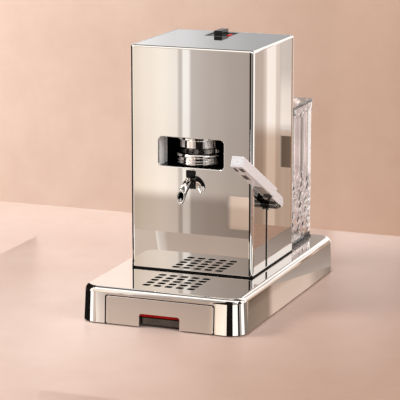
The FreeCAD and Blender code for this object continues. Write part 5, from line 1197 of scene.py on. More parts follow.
@dataclass(frozen=True)
class Base:
    """Chromed base: pressed cover with a grille, the black crate under the grille that paints the slots'
    shade, and the drawer's face.
    """

    half_width: float = 103.5
    half_depth: float = 179.0
    low: float = 1.5
    top: float = 44.5
    wall: float = 2.5
    corner: float = 22.0
    fillet: float = 7.0
    inner_fillet: float = 4.5
    draft: float = math.tan(math.radians(3.0))
    opening_half: float = 69.45
    opening_top: float = 36.1
    opening_round: float = 3.0
    grille_centre: tuple[float, float] = (0.0, -122.5)
    grille_pitch: tuple[float, float] = (14.2, 12.6)
    grille_count: int = 5
    slot_half: tuple[float, float] = (4.65, 4.25)
    slot_round: float = 2.4
    slot_edge: float = 0.15
    slot_flare: float = 1.2
    # Cell, liner and sleeve sizes of the black crate that lines each slot as painted shade.
    cell_half: tuple[float, float] = (5.95, 5.55)
    liner_wall: float = 1.5
    liner_round: float = 3.0
    liner_low: float = 35.9
    liner_top: float = 41.9
    sleeve_wall: float = 0.3
    sleeve_gap: float = 0.04
    sleeve_low: float = 41.95
    sleeve_top: float = 44.42
    boss_place: tuple[float, float] = (88.0, 120.0)
    boss_radius: float = 5.0
    boss_low: float = 4.5
    boss_edge: float = 0.2
    boss_sink: float = 0.6
    screw_radius: float = 1.6
    screw_top: float = 38.0
    cord_place: tuple[float, float] = (-60.0, 22.0)
    cord_radius: float = 6.1
    passages: tuple[Spot, Spot] = ((-30.0, 110.0, 10.3), (-30.0, 38.0, 7.5))
    drawer_half: float = 68.0
    drawer_top: float = 34.9
    drawer_round: float = 2.4
    drawer_back: float = -174.5
    notch_half: float = 25.5
    notch_top: float = 16.8
    notch_round: float = 3.0
    notch_foot_round: float = 0.5
    face_edge: float = 0.55

    def build(self) -> None:
        """Build the cover, the drawer's face and the black crate of painted shade."""
        make_piece("base_cover", self.cover_patches(), "root", "chrome", "base_housing")
        make_piece("drawer_face", self.drawer_patches(), "drawer", "chrome", "drawer_front")
        # Black crate under the grille: painted shade for the slots' dark insides.
        make_piece("grille_liner", self.shade_liner_patches(), "root", "black_plastic")

    def shade_liner_patches(self) -> list[Patch]:
        """Black crate under the grille, painted shade for the slots' dark insides: an upright sleeve in each
        slot, and a thin frame round all of them.

        Returns:
            The frame, then each sleeve.
        """
        reach = [(self.grille_count - 1) / 2 * pitch + half + self.liner_wall
                 for pitch, half in zip(self.grille_pitch, self.cell_half)]
        frame_outline = block_outline(*around(self.grille_centre, reach), self.liner_round, 4)
        inner, outer = ([half - inset for half in self.slot_half]
                        for inset in (self.sleeve_wall, self.sleeve_gap))
        cells = [Hole(block_hole(*around(place, inner), self.slot_round, 4)) for place in self.slot_places()]
        patches = sheet_block(frame_outline, cells, self.liner_low, self.liner_top)
        for place, cell in zip(self.slot_places(), cells):
            sleeve = block_outline(*around(place, outer), self.slot_round, 4)
            patches += sheet_block(sleeve, [cell], self.sleeve_low, self.sleeve_top)
        return patches

    def slot_places(self) -> list[tuple[float, float]]:
        """Centres of the grille's slots, on their even pitch.

        Returns:
            Places in x and y, row by row from the front.
        """
        steps = np.arange(self.grille_count) - (self.grille_count - 1) / 2
        return [(self.grille_centre[0] + column * self.grille_pitch[0],
                 self.grille_centre[1] + row * self.grille_pitch[1]) for row in steps for column in steps]

    def section(self) -> Path:
        """Profile of the pressed wall: down the inside, out under the foot, up the outside and in at the top.

        Returns:
            The profile; both walls lean inwards by the draft.
        """
        across = self.wall * math.sqrt(1 + self.draft ** 2)
        lean = (self.top - self.low) * self.draft
        ceiling = self.top - self.wall
        inner = (ceiling - self.low) * self.draft + across
        return section_run([(-inner, ceiling, self.inner_fillet), (-across, self.low, 0), (0, self.low, 0),
                            (-lean, self.top, self.fillet)], 10)

    def end_pose(self, way: int) -> Pose:
        """Leaning front (way 1) or back (way -1) plane; its second direction is height above the foot."""
        return Pose((way, 0, 0), (0, way * self.draft, 1), (0, -way, 0),
                    (0, -way * self.half_depth, self.low))

    def cover_patches(self) -> list[Patch]:
        """Pressed cover: wall section carried round, pierced deck, drawer opening, and screw bosses.

        Returns:
            The wall, the front and rear ends, the deck and the bosses.
        """
        outline = block_outline(*around((0, 0), (self.half_width, self.half_depth)), self.corner, 12)
        count = len(outline.points) // 4
        section = self.section()
        inside, outside = longest_edges(section)
        foot = inside + 1
        front_edge, back_edge = count - 1, 3 * count - 1
        skip = [(front_edge, outside), (front_edge, inside), (front_edge, foot), (back_edge, outside),
                (back_edge, inside)]
        wall = carry(outline, section, skip)
        across = -section.points[foot, 0]
        rises = [section.points[row, 1] - self.low for row in (outside + 1, inside)]
        deck = pierced(outline.at(section.points[-1, 0]), self.deck_holes(), self.top - self.wall, self.top,
                       outline.at(section.points[0, 0]))
        return [wall, *self.front_patches(across, rises), *self.rear_patches(across, rises), *deck,
                *self.boss_patches()]

    def front_patches(self, across: float, rises: Sequence[float]) -> list[Patch]:
        """Flat part of the front end, with the drawer's opening.

        Args:
            across: Level thickness of the wall.
            rises: Height above the foot of its outer and inner face.

        Returns:
            Outer face, inner face, the opening's edge, and the foot on both sides of it.
        """
        straight = self.half_width - self.corner
        gap, head = self.opening_half, self.opening_top - self.low
        arch = rounded([(-gap, 0, 0), (-gap, head, self.opening_round), (gap, head, self.opening_round),
                        (gap, 0, 0)], False)
        loops = [np.concatenate([[(-straight, 0)], arch.points, [(straight, 0), (straight, rise),
                                                                 (-straight, rise)]]) for rise in rises]
        parts = [plate(loops[0], [], 0.0, True), plate(loops[1], [], -across, False),
                 carry(arch, straight_wall(-across, 0.0))]
        parts += [quad([(a, 0, 0), (a, 0, -across), (b, 0, -across), (b, 0, 0)])
                  for a, b in ((-straight, -gap), (gap, straight))]
        return [self.end_pose(1).put(part) for part in parts]

    def rear_patches(self, across: float, rises: Sequence[float]) -> list[Patch]:
        """Flat part of the rear end, with the hole for the mains cord's entry.

        Args:
            across: Level thickness of the wall.
            rises: Height above the foot of its outer and inner face.

        Returns:
            Outer face, inner face and the hole's wall.
        """
        straight = self.half_width - self.corner
        hole = Hole(ring_hole(self.cord_place[0], self.cord_place[1] - self.low, self.cord_radius))
        outer, inner = (box_loop(-straight, straight, 0, rise) for rise in rises)
        return [self.end_pose(-1).put(part) for part in pierced(outer, [hole], -across, 0.0, inner)]

    def boss_patches(self) -> list[Patch]:
        """Four bosses that hang from the deck for the base plate's screws.

        Returns:
            Outside and screw hole of each boss.
        """
        root = self.top - self.wall + self.boss_sink
        outside = rounded([(self.boss_radius, self.boss_low, self.boss_edge), (self.boss_radius, root, 0),
                           (0, root, 0)], False)
        hole = rounded([(0, self.screw_top, 0), (self.screw_radius, self.screw_top, 0),
                        (self.screw_radius, self.boss_low, 0), (self.boss_radius, self.boss_low, 0)], False)
        x, y = self.boss_place
        return [turned(profile, *place, 24) for place in ((-x, -y), (-x, y), (x, -y), (x, y))
                for profile in (outside, hole)]

    def deck_holes(self) -> list[Hole]:
        """Grille slots, and the two hidden passages for water and cable.

        Returns:
            The holes of the deck.
        """
        slots = [Hole(block_hole(*around(place, self.slot_half), self.slot_round, 4), self.slot_edge,
                      self.slot_flare) for place in self.slot_places()]
        return slots + [Hole(ring_hole(*passage)) for passage in self.passages]

    def drawer_patches(self) -> list[Patch]:
        """Drawer face: outline with its finger notch, front edge rounded, back face upright.

        Returns:
            The face's block, carried to the leaning front.
        """
        half, notch, corner = self.drawer_half, self.notch_half, self.drawer_round
        foot, head = self.notch_foot_round, self.notch_round
        high, brow = self.drawer_top - self.low, self.notch_top - self.low
        outline = rounded([(-half, 0, corner), (-notch, 0, foot), (-notch, brow, head), (notch, brow, head),
                           (notch, 0, foot), (half, 0, corner), (half, high, corner), (-half, high, corner)])
        depth = self.drawer_back + self.half_depth
        parts = solid_block(outline, -depth, 0.0, 0.0, self.face_edge)
        for part in parts:
            back = part.points[:, 2] < -depth + WELD_STEP
            part.points[back, 2] = -depth + self.draft * part.points[back, 1]
        return [self.end_pose(1).put(part) for part in parts]


@dataclass(frozen=True)
class Wrap:
    """Mirror steel wrap of the body, folded in at the top and at the foot, and the black strip in its slit,
    painted shade for the slit's dark gap.
    """

    half_width: float = 79.0
    front: float = -76.0
    back: float = 74.0
    low: float = 46.3
    top: float = 320.0
    sheet: float = 1.5
    corner: float = 5.0
    rim_round: float = 3.6
    rim: float = 4.0
    rim_edge: float = 0.3
    foot_round: float = 0.9
    recess: float = 318.5
    flange: float = 9.5
    window_half: float = 41.5
    window_low: float = 174.5
    window_top: float = 210.0
    window_round: float = 5.0
    window_edge: float = 1.42
    slot_half: float = 6.2
    slot_low: float = 148.8
    slot_top: float = 171.4
    slot_round: float = 1.0
    slot_edge: float = 0.3
    door_half: float = 68.5
    door_top: float = 317.0
    door_round: float = 0.5
    cut_gap: float = 0.1
    shaft_y: float = -26.0
    shaft_z: float = 129.0
    eye: float = 7.1
    eye_edge: float = 0.25
    eye_points: int = 60
    slit_half: float = 3.2
    # strip_ and rib_ sizes: black rubber that fills the slit as painted shade for its dark gap.
    strip_half: float = 5.0
    strip_depth: float = 0.6
    strip_foot: float = 0.6
    strip_head: float = 1.5
    strip_gap: float = 0.02
    strip_edge: float = 0.05
    strip_round: float = 0.3
    rib_gap: float = 0.04
    rib_root: float = 0.3
    rib_sunk: float = 0.15

    def build(self) -> None:
        """Build the wrap and the strip of painted shade in its slit."""
        make_piece("body_wrap", self.patches(), "root", "mirror_steel", "body_shell")
        # Black strip in the slit: painted shade.
        make_piece("slit_strip", self.strip_patches(), "root", "black_rubber")

    def strip_patches(self) -> list[Patch]:
        """Black rubber strip inside the right wall, with a rib that fills the slit almost flush: painted
        shade for the slit's dark gap.

        Returns:
            The strip's block and the rib's block.
        """
        sides = self.low + self.sheet + self.strip_foot, self.shaft_z - self.eye - self.strip_head
        inside = self.half_width - self.sheet
        parts = []
        for half, start, end in ((self.strip_half, inside - self.strip_depth, inside - self.strip_gap),
                                 (self.slit_half - self.rib_gap, inside - self.rib_root,
                                  self.half_width - self.rib_sunk)):
            outline = block_outline(self.shaft_y - half, self.shaft_y + half, *sides, self.strip_round, 2)
            parts += solid_block(outline, start, end, self.strip_edge, self.strip_edge)
        return [FACING_RIGHT.put(part) for part in parts]

    def patches(self) -> list[Patch]:
        """Section of sheet and rims carried round, with pierced flat sides.

        Returns:
            The carried section, then the front, the right and the rear side.
        """
        outline = block_outline(-self.half_width, self.half_width, self.front, self.back, self.corner, 6)
        count = len(outline.points) // 4
        inner_low = self.low + self.sheet
        section = rounded([(0, self.low, self.foot_round), (0, self.top, self.rim_round),
                           (-self.rim, self.top, self.rim_edge), (-self.rim, self.recess, 0),
                           (-self.sheet, self.recess, 0), (-self.sheet, inner_low, 0),
                           (-self.flange, inner_low, 0), (-self.flange, self.low, 0)], True, 5)
        outside, inside = longest_edges(section)
        skip = [(edge, row) for edge in (count - 1, 2 * count - 1, 3 * count - 1)
                for row in (outside, inside)]
        rises = (section.points[outside, 1], section.points[outside + 1, 1]), (inner_low, self.recess)
        foot = inner_low + self.cut_gap
        window = block_hole(-self.window_half, self.window_half, self.window_low, self.window_top,
                            self.window_round, 8)
        spout = block_hole(-self.slot_half, self.slot_half, self.slot_low, self.slot_top, self.slot_round, 4)
        door = block_hole(-self.door_half, self.door_half, foot, self.door_top, self.door_round, 2)
        flat = self.half_width - self.corner
        side = self.front + self.corner, self.back - self.corner
        parts = [carry(outline, section, skip)]
        for pose, run, level, holes in (
                (FACING_FRONT, (-flat, flat), -self.front, [Hole(window, self.window_edge),
                                                            Hole(spout, self.slot_edge)]),
                (FACING_RIGHT, side, self.half_width, [Hole(self.keyhole(foot), self.eye_edge)]),
                (FACING_BACK, (-flat, flat), self.back, [Hole(door)])):
            outer, inner = (box_loop(*run, *rise) for rise in rises)
            parts += [pose.put(part) for part in pierced(outer, holes, level - self.sheet, level, inner)]
        return parts

    def keyhole(self, foot: float) -> Path:
        """Round eye for the shaft's bush with the narrow assembly slit below it, clockwise.

        Formula: an arc round the eye's centre from where it meets the slit on the left, over the
        top, to where it meets the slit on the right; the slit's two lower corners close it.

        Args:
            foot: Height of the slit's lower end.

        Returns:
            The closed path.
        """
        drop = math.asin(self.slit_half / self.eye)
        angle = np.linspace(-math.pi / 2 - drop, -2.5 * math.pi + drop, self.eye_points)
        rays = np.stack([np.cos(angle), np.sin(angle)], axis=1)
        corners = np.array([(self.shaft_y + self.slit_half, foot), (self.shaft_y - self.slit_half, foot)])
        points = np.concatenate([np.array([self.shaft_y, self.shaft_z]) + self.eye * rays, corners])
        before = np.concatenate([-rays, [(-1, 0), (0, 1)]])
        after = np.concatenate([-rays, [(0, 1), (1, 0)]])
        before[0], after[self.eye_points - 1] = (1, 0), (-1, 0)
        miter = np.concatenate([-rays, [(-1, 1), (1, 1)]])
        return Path(points, before, after, miter, np.full(len(points), np.inf), miter, True)


@dataclass(frozen=True)
class Switch:
    """Steel top plate, and in it the switch's dark frame, partly painted shade for the gap round the knob,
    with its floor and red lens.
    """

    plate: tuple[float, ...] = (-74.9, 74.9, -71.9, 69.9)
    plate_corner: float = 1.2
    plate_low: float = 317.0
    plate_top: float = 319.7
    plate_edge: float = 0.1
    centre: tuple[float, float] = (-7.0, 46.0)
    half: tuple[float, float] = (16.5, 18.5)
    corner: float = 1.5
    low: float = 314.0
    top: float = 319.95
    gap: float = 0.1
    width: float = 0.95
    edge: float = 0.25
    floor_low: float = 317.6
    floor_top: float = 318.9
    floor_edge: float = 0.2
    knob_hole: tuple[float, ...] = (-12.7, -1.3, 30.6, 57.4)
    lamp_hole: tuple[float, ...] = (2.9, 7.3, 35.8, 48.2)
    hole_round: float = 0.8
    lens: tuple[float, ...] = (3.05, 7.15, 36.0, 48.0)
    lens_corner: float = 1.2
    lens_top: float = 320.6
    lens_foot: float = 0.1
    lens_round: float = 1.1

    def build(self) -> None:
        """Build the plate, the frame, its floor and the lens."""
        sides = around(self.centre, self.half)
        outline = block_outline(*sides, self.corner)
        opening = Hole(block_hole(*sides, self.corner), self.plate_edge)
        sheet = sheet_block(block_outline(*self.plate, self.plate_corner, 4), [opening], self.plate_low,
                            self.plate_top)
        make_piece("top_plate", sheet, "root", "satin_steel", "top_panel", finish="plate_steel")
        section = rounded([(-self.gap, self.low, 0), (-self.gap, self.top, self.edge),
                           (-self.width, self.top, self.edge), (-self.width, self.low, 0)])
        # The frame's dark tone is partly painted shade for the gap round the knob.
        make_piece("switch_frame", [carry(outline, section)], "root", "light_plastic", "switch_bezel")
        holes = [Hole(block_hole(*hole, self.hole_round, 3), self.floor_edge)
                 for hole in (self.knob_hole, self.lamp_hole)]
        floor = sheet_block(outline, holes, self.floor_low, self.floor_top, -self.width - self.gap)
        make_piece("switch_floor", floor, "root", "black_plastic")
        lens = solid_block(block_outline(*self.lens, self.lens_corner, 4), self.low, self.lens_top,
                           self.lens_foot, self.lens_round)
        make_piece("lamp_lens", lens, "root", "red_lens", "switch_lamp")


@dataclass(frozen=True)
class Cup:
    """Pod cup with a rolled bead and two thin rings, its outlet block, and the white cheeks beside it,
    brightened as painted light.
    """

    axis_y: float = -45.0
    bottom: float = 176.0
    top: float = 189.8
    bead: float = 2.7
    bead_radius: float = 29.0
    neck_radius: float = 26.6
    neck_round: float = 0.6
    ring_radius: float = 28.5
    ring_heights: tuple[float, ...] = (178.2, 181.3)
    ring_half: float = 0.75
    roll: float = 0.98
    well_radius: float = 23.5
    well_floor: float = 182.4
    well_edge: float = 0.8
    well_round: float = 0.5
    funnel_radius: float = 16.8
    drain_radius: float = 3.5
    drain_depth: float = 2.0
    block: tuple[float, ...] = (-9.0, 9.0, -56.0, -36.0, 141.3, 176.4)
    tail: tuple[float, ...] = (-8.0, 8.0, -36.4, -14.0, 141.3, 147.0)
    block_corner: float = 0.8
    block_edge: float = 0.5
    cheek_x: tuple[float, float] = (42.5, 44.0)
    cheek_runs: tuple[tuple[float, float], ...] = ((-74.5, -54.5), (-50.5, -46.0))
    cheek_z: tuple[float, float] = (173.5, 212.5)
    cheek_corner: float = 0.4
    cheek_edge: float = 0.3

    def build(self) -> None:
        """Build the cup and the cheeks."""
        parts = [turned(self.profile(), 0.0, self.axis_y, 96)]
        for *sides, low, high in (self.block, self.tail):
            outline = block_outline(*sides, self.block_corner, 3)
            parts += solid_block(outline, low, high, self.block_edge, self.block_edge)
        make_piece("pod_cup", parts, "carriage", "chrome", "pod_carrier")
        inner, outer = self.cheek_x
        cheeks = []
        for sides in ((inner, outer), (-outer, -inner)):
            for run in self.cheek_runs:
                outline = block_outline(*sides, *run, self.cheek_corner, 3)
                cheeks += solid_block(outline, *self.cheek_z, self.cheek_edge, self.cheek_edge)
        # The cheeks take a brighter copy of white_plastic: painted light.
        make_piece("cheek_plates", cheeks, "root", "white_plastic", "guide_cheeks", finish="cheek_white")

    def profile(self) -> Path:
        """Section of the cup: bottom, thin rings, rolled bead, lip, and well with its funnel.

        Returns:
            Open profile of (radius, height), from the axis below to the axis above.
        """
        corners = [(0, self.bottom, 0), (self.neck_radius, self.bottom, self.neck_round)]
        neck, ring, half = self.neck_radius, self.ring_radius, self.ring_half
        for height in self.ring_heights:
            low, high = height - half, height + half
            corners += [(neck, low, 0), (ring, low, half * self.roll), (ring, high, half * self.roll),
                        (neck, high, 0)]
        low, drain = self.top - 2 * self.bead, self.well_floor - self.drain_depth
        corners += [(neck, low, 0), (self.bead_radius, low, self.bead * self.roll),
                    (self.bead_radius, self.top, self.bead * self.roll),
                    (self.well_radius, self.top, self.well_edge),
                    (self.well_radius, self.well_floor, self.well_round),
                    (self.funnel_radius, self.well_floor, 0), (self.drain_radius, drain, self.well_round),
                    (0, drain, 0)]
        return rounded(corners, False, 8)


@dataclass(frozen=True)
class Spout:
    """Curved chrome spout: a tube along a bent line, its mouth cut aslant and its lip rounded."""

    outer: float = 5.5
    inner: float = 3.5
    start_y: float = -56.0
    bend_y: float = -76.0
    height: float = 159.3
    bend_radius: float = 45.0
    bend: float = math.radians(42.0)
    straight: float = 4.0
    cut_lean: float = math.radians(12.0)
    lip: float = 0.55
    lip_run: float = 0.3
    search: float = 12.0
    search_steps: int = 700
    columns: int = 56
    rows: int = 48
    lip_rows: int = 7

    def centre_line(self, s: np.ndarray) -> tuple[np.ndarray, np.ndarray]:
        """Centre and heading angle at arc lengths: straight out, a bend down, and straight on.

        Formula: angle = (s - first run) / bend radius, kept between 0 and the bend; on the bend
        y = bend start - R sin(angle) and z = height - R (1 - cos(angle)).

        Args:
            s: Arc lengths from the start.

        Returns:
            Centres (..., 3) and angles.
        """
        first = self.bend_y - self.start_y
        angle = np.clip((s + first) / self.bend_radius, 0, self.bend)
        rest = s + first - angle * self.bend_radius
        y = self.bend_y - self.bend_radius * np.sin(angle) - rest * np.cos(angle)
        z = self.height - self.bend_radius * (1 - np.cos(angle)) - rest * np.sin(angle)
        return np.stack([np.zeros_like(y), y, z], axis=-1), angle

    def tube(self, s: np.ndarray, turn: np.ndarray, radius: float) -> np.ndarray:
        """Points on the tube: centre + radius * (cos turn * upward normal - sin turn * x).

        Args:
            s: Arc lengths.
            turn: Angles round the tube, of the same shape.
            radius: Radius of the tube.

        Returns:
            Points (..., 3).
        """
        centre, angle = self.centre_line(s)
        normal = np.stack([np.zeros_like(angle), -np.sin(angle), np.cos(angle)], axis=-1)
        side = np.array([1.0, 0.0, 0.0])
        return centre + radius * (np.cos(turn)[..., None] * normal - np.sin(turn)[..., None] * side)

    def cut_length(self, turn: np.ndarray, radius: float) -> np.ndarray:
        """Arc length at which each line of the tube meets the plane of the mouth.

        Args:
            turn: Angles round the tube.
            radius: Radius of the tube.

        Returns:
            One arc length for each line, between the two steps where it crosses the plane.
        """
        whole = self.start_y - self.bend_y + self.bend_radius * self.bend + self.straight
        mouth = self.centre_line(np.array(whole))[0]
        s = np.linspace(0, whole + self.search, self.search_steps)
        grid = self.tube(s[:, None] + 0 * turn, turn + 0 * s[:, None], radius)
        ahead = (grid - mouth) @ np.array([0.0, math.cos(self.cut_lean), -math.sin(self.cut_lean)])
        last = np.argmax(ahead < 0, axis=0)
        column = np.arange(len(turn))
        before, after = ahead[last - 1, column], ahead[last, column]
        return s[last - 1] + (s[1] - s[0]) * before / (before - after)

    def build(self) -> None:
        """Build the spout as one grid: outside, lip, inside, and back to the start."""
        turn = np.linspace(0, 2 * math.pi, self.columns, endpoint=False)
        part = np.linspace(0, 1, self.rows)[:, None]
        out_end, in_end = (self.cut_length(turn, radius) - self.lip_run
                           for radius in (self.outer, self.inner))
        outside = self.tube(part * out_end, turn + 0 * part, self.outer)
        inside = self.tube(part[::-1] * in_end, turn + 0 * part, self.inner)
        roll = np.linspace(0, math.pi, self.lip_rows + 2)[1:-1, None, None]
        share = (1 - np.cos(roll)) / 2
        forward = np.array([0.0, -math.cos(self.cut_lean), math.sin(self.cut_lean)])
        lip = outside[-1] * (1 - share) + inside[0] * share + np.sin(roll) * self.lip * forward
        grid = np.concatenate([outside, lip, inside, outside[:1]])
        make_piece("spout_pipe", [grid_patch(grid, True)], "carriage", "chrome", "spout_tube")


@dataclass(frozen=True)
class Lever:
    """Thin black sheets over the pockets under the lever's grip, painted shade for their dark insides, in the
    lever's own leaning frame.
    """

    pivot: tuple[float, float] = (-26.0, 129.0)
    angle: float = math.radians(27.3)
    pockets: tuple[tuple[float, ...], ...] = ((84.6, 87.4, 135.8, 147.8), (91.5, 95.7, 135.8, 147.8),
                                              (85.3, 90.7, 103.3, 118.8))
    mouth: float = -1.2
    depth: float = 0.08
    flange: tuple[float, float] = (0.45, 1.1)
    corner: float = 0.6
    edge: float = 0.03

    def build(self) -> None:
        """Build the sheets of painted shade: x across, second direction along the grip, third away from its
        top.
        """
        cosine, sine = math.cos(self.angle), math.sin(self.angle)
        pose = Pose((1, 0, 0), (0, cosine, -sine), (0, sine, cosine), (0.0, *self.pivot))
        parts = []
        for x0, x1, s0, s1 in self.pockets:
            outline = block_outline(x0 - self.flange[0], x1 + self.flange[0], -s1 - self.flange[1],
                                    -s0 + self.flange[1], self.corner, 2)
            parts += solid_block(outline, self.mouth - self.depth, self.mouth, self.edge, 0.0)
        # Black sheets at the pockets' mouths: painted shade.
        make_piece("pocket_covers", [pose.put(part) for part in parts], "lever", "black_plastic")


def denser(outline: Path, spacing: float) -> Path:
    """The same path with points added on its straight edges, at most a spacing apart.

    Args:
        outline: The closed path.
        spacing: Longest edge of the new one.

    Returns:
        The path; its added points have their edge's normal.
    """
    following = np.roll(np.arange(len(outline.points)), -1)
    gaps = np.linalg.norm(outline.points[following] - outline.points, axis=1)
    counts = np.maximum(1, np.ceil(gaps / spacing).astype(int))
    first = np.repeat(np.arange(len(counts)), counts)
    place = np.arange(counts.sum()) - np.repeat(np.cumsum(counts) - counts, counts)
    share = (place / counts[first])[:, None]
    points = outline.points[first] * (1 - share) + outline.points[following[first]] * share
    before, miter, lean = (np.where(share > 0, outline.after[first], part[first])
                           for part in (outline.before, outline.miter, outline.lean))
    reach = np.where(share[:, 0] > 0, np.inf, outline.reach[first])
    return Path(points, before, outline.after[first], miter, reach, lean, outline.closed)


@dataclass(frozen=True)
class Tank:
    """Clear tank with a thick lip and flutes inside its wall, its clear lid, and its seat."""

    half_width: float = 73.3
    front: float = 79.4
    back: float = 166.8
    corner: float = 9.0
    low: float = 46.8
    top: float = 223.0
    wall: float = 2.5
    foot_round: float = 2.0
    lip: float = 8.0
    lip_proud: float = 1.4
    lip_rounds: Spot = (0.5, 0.8, 0.6)
    neck_round: float = 0.4
    valve: tuple[float, float] = (-30.0, 110.0)
    valve_hole: float = 4.4
    spacing: float = 1.1
    grid_rows: int = 130
    fade: float = 4.0
    flute_pitch: float = 33.0
    flute_depth: float = 0.17
    flute_drift: tuple[float, float] = (0.6, 17.0)
    ripple_top: float = 139.0
    ripple_fade: float = 14.0
    ripple_depth: float = 0.17
    lip_ripple: Spot = (0.7, 16.0, 6.0)
    flute_loss: float = 0.6
    waves: tuple[Spot, ...] = ((0.35, 2.6, 0.4), (1.15, 1.8, 1.9), (1.75, 2.3, 3.1), (2.20, 1.5, 0.9),
                               (2.95, 3.6, 5.0), (1.45, 1.3, 2.2))
    seat_grow: float = 1.3
    seat_low: float = 44.5
    seat_top: float = 46.1
    seat_foot: float = 0.2
    seat_edge: float = 0.4
    bore: float = 6.08
    socket: float = 10.0
    socket_low: float = 28.0
    socket_floor: float = 2.0
    lid_low: float = 223.1
    lid_top: float = 225.3
    lid_edge: float = 1.0
    skirt: float = 3.0
    skirt_wall: float = 1.8
    skirt_depth: float = 5.0
    skirt_round: float = 0.3
    skirt_edge: float = 0.4
    hole: float = 13.0
    hole_edge: float = 0.6

    def build(self) -> None:
        """Build the tank, its lid and its seat."""
        make_piece("tank_body", self.body_patches(), "tank", "clear_plastic", "water_tank")
        make_piece("tank_cover", self.lid_patches(), "lid", "clear_plastic", "tank_lid")
        make_piece("seat_tray", self.seat_patches(), "root", "grey_plastic", "tank_seat")

    def outline(self) -> Path:
        """Outline of the tank, with points close enough for its flutes."""
        plain = block_outline(-self.half_width, self.half_width, self.front, self.back, self.corner, 14)
        return denser(plain, self.spacing)

    def body_patches(self) -> list[Patch]:
        """Outside wall, lip and floor, with the fluted inside wall between them.

        Returns:
            The shell, the inside wall and the pierced floor.
        """
        outline = self.outline()
        floor, neck = self.low + self.wall, self.top - self.lip
        lip_foot, lip_edge, mouth_edge = self.lip_rounds
        section = section_run([(0, self.low, self.foot_round), (0, neck, self.neck_round),
                               (self.lip_proud, neck, lip_foot), (self.lip_proud, self.top, lip_edge),
                               (-self.wall, self.top, mouth_edge), (-self.wall, floor, self.wall)], 5)
        inside = longest_edges(section)[1]
        shell = carry(outline, section, [(k, inside) for k in range(len(outline.points))])
        fluted = self.fluted_wall(outline, section.points[inside, 1], section.points[inside + 1, 1])
        low_loop, floor_loop = (outline.at(section.points[end, 0]) for end in (0, -1))
        return [shell, fluted, *pierced(floor_loop, [Hole(ring_hole(*self.valve, self.valve_hole))], self.low,
                                        floor, low_loop)]

    def seat_patches(self) -> list[Patch]:
        """Thin tray under the tank, with the socket that the valve plugs into.

        Returns:
            The tray's edge, its faces, the bore with its floor, and the socket's foot and wall.
        """
        grow = self.seat_grow
        outline = block_outline(-self.half_width - grow, self.half_width + grow, self.front - grow,
                                self.back + grow, self.corner + grow, 10)
        section = section_run([(0, self.seat_low, self.seat_foot), (0, self.seat_top, self.seat_edge)], 4)
        mouth, wide = (ring_hole(*self.valve, radius) for radius in (self.bore, self.socket))
        bore_loop, socket_loop = (ring_outline(*self.valve, radius) for radius in (self.bore, self.socket))
        low_loop, top_loop = (outline.at(section.points[end, 0]) for end in (0, -1))
        floor = self.socket_low + self.socket_floor
        return [carry(outline, section), plate(top_loop, [mouth.points], self.seat_top, True),
                plate(low_loop, [wide.points], self.seat_low, False),
                carry(mouth, straight_wall(floor, self.seat_top)), plate(bore_loop.points, [], floor, True),
                plate(socket_loop.points, [], self.socket_low, False),
                carry(socket_loop, straight_wall(self.socket_low, self.seat_low))]

    def fluted_wall(self, outline: Path, high: float, low: float) -> Patch:
        """Inside wall as a grid of height and place along the outline.

        Formula: the wall's inset changes by flute depth * cos(2 pi s / pitch + drift) and, below
        the ripple's top and near the lip, by half the ripple depth * the sum of crossing waves
        sin((s cos t + z sin t) / size + lag); both fade out to nothing at both ends of the height.

        Args:
            outline: Outline of the tank.
            high: Height of the wall's upper end.
            low: Height of its lower end.

        Returns:
            The patch, which looks inwards.
        """
        run = np.concatenate([[0], np.cumsum(np.linalg.norm(np.diff(outline.points, axis=0), axis=1))])
        heights = np.linspace(high, low, self.grid_rows)
        s, z = run[None, :], heights[:, None]
        fade = np.clip(np.minimum(high - z, z - low) / self.fade, 0, 1)
        drift = self.flute_drift[0] * np.sin(s / self.flute_drift[1])
        flutes = self.flute_depth * np.cos(2 * math.pi * s / self.flute_pitch + drift)
        lip_share, lip_reach, lip_fade = self.lip_ripple
        rippled = np.clip((self.ripple_top - z) / self.ripple_fade, 0, 1)
        rippled = rippled + lip_share * np.clip((z - high + lip_reach) / lip_fade, 0, 1)
        ripple = sum(np.sin((s * math.cos(turn) + z * math.sin(turn)) / size + lag)
                     for turn, size, lag in self.waves) * self.ripple_depth / 2
        inset = -self.wall - fade * (flutes * (1 - self.flute_loss * rippled) + ripple * rippled)
        flat = outline.points[None] + inset[..., None] * outline.miter[None]
        grid = np.concatenate([flat, np.broadcast_to(z[..., None], (*flat.shape[:2], 1))], axis=2)
        return grid_patch(grid, True)

    def lid_patches(self) -> list[Patch]:
        """Lid plate with its round hole, and the skirt below it, as one closed form.

        Returns:
            The edge with the skirt, and the pierced plate.
        """
        outline = self.outline()
        outer, inner = -self.skirt, -self.skirt - self.skirt_wall
        low, foot, bend = self.lid_low, self.lid_low - self.skirt_depth, self.skirt_round
        section = section_run([(inner, low, bend), (inner, foot, self.skirt_edge),
                               (outer, foot, self.skirt_edge), (outer, low, bend),
                               (self.lip_proud, low, bend), (self.lip_proud, self.lid_top, self.lid_edge)], 5)
        hole = Hole(ring_hole(0.0, (self.front + self.back) / 2, self.hole, 72), self.hole_edge)
        low_loop, top_loop = (outline.at(section.points[end, 0]) for end in (0, -1))
        return [carry(outline, section), *pierced(top_loop, [hole], low, self.lid_top, low_loop)]


# The lever's arm and hub take darker copies of their steel finishes: painted shade.
NODE_FINISHES = {"lever_arm": "polished_bar", "base_plate": "lip_steel", "lever_hub": "dark_hub"}


def finish_nodes() -> None:
    """Give each CAD node its own finish, or the one of its slot in the record."""
    for entry in frame["record"]["subparts"]:
        node = bpy.data.objects.get(entry["node"])
        if node is None or node.type != "MESH":
            LOG.warning("no mesh for %s", entry["node"])
            continue
        material = bpy.data.materials[NODE_FINISHES.get(entry["node"], entry["material_slot"])]
        for place in node.material_slots:
            place.material = material
        if not node.material_slots:
            node.data.materials.append(material)


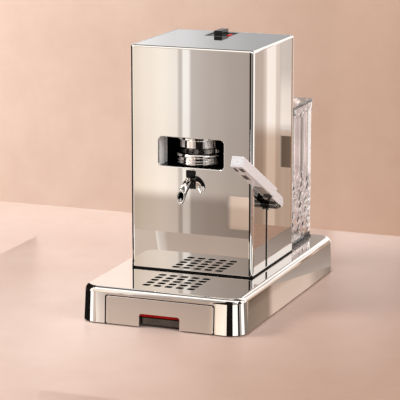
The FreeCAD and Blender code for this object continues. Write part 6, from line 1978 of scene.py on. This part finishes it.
def main() -> None:
    """Build the stage, the finishes and each sub-assembly."""
    logging.basicConfig(level=logging.INFO, format="%(name)s: %(message)s")
    for material in [m for m in bpy.data.materials if m.name in {finish.slot for finish in FINISHES}]:
        material.name = "cad_" + material.name
    for group in (tone_drift_group, handling_group, ripple_group, grain_group, moulding_group, spangle_group):
        group()
    Studio().build()
    for finish in FINISHES:
        finish.build()
    finish_nodes()
    for assembly in (Base(), Wrap(), Switch(), Cup(), Spout(), Lever(), Tank()):
        assembly.build()


if __name__ == "__main__":
    main()
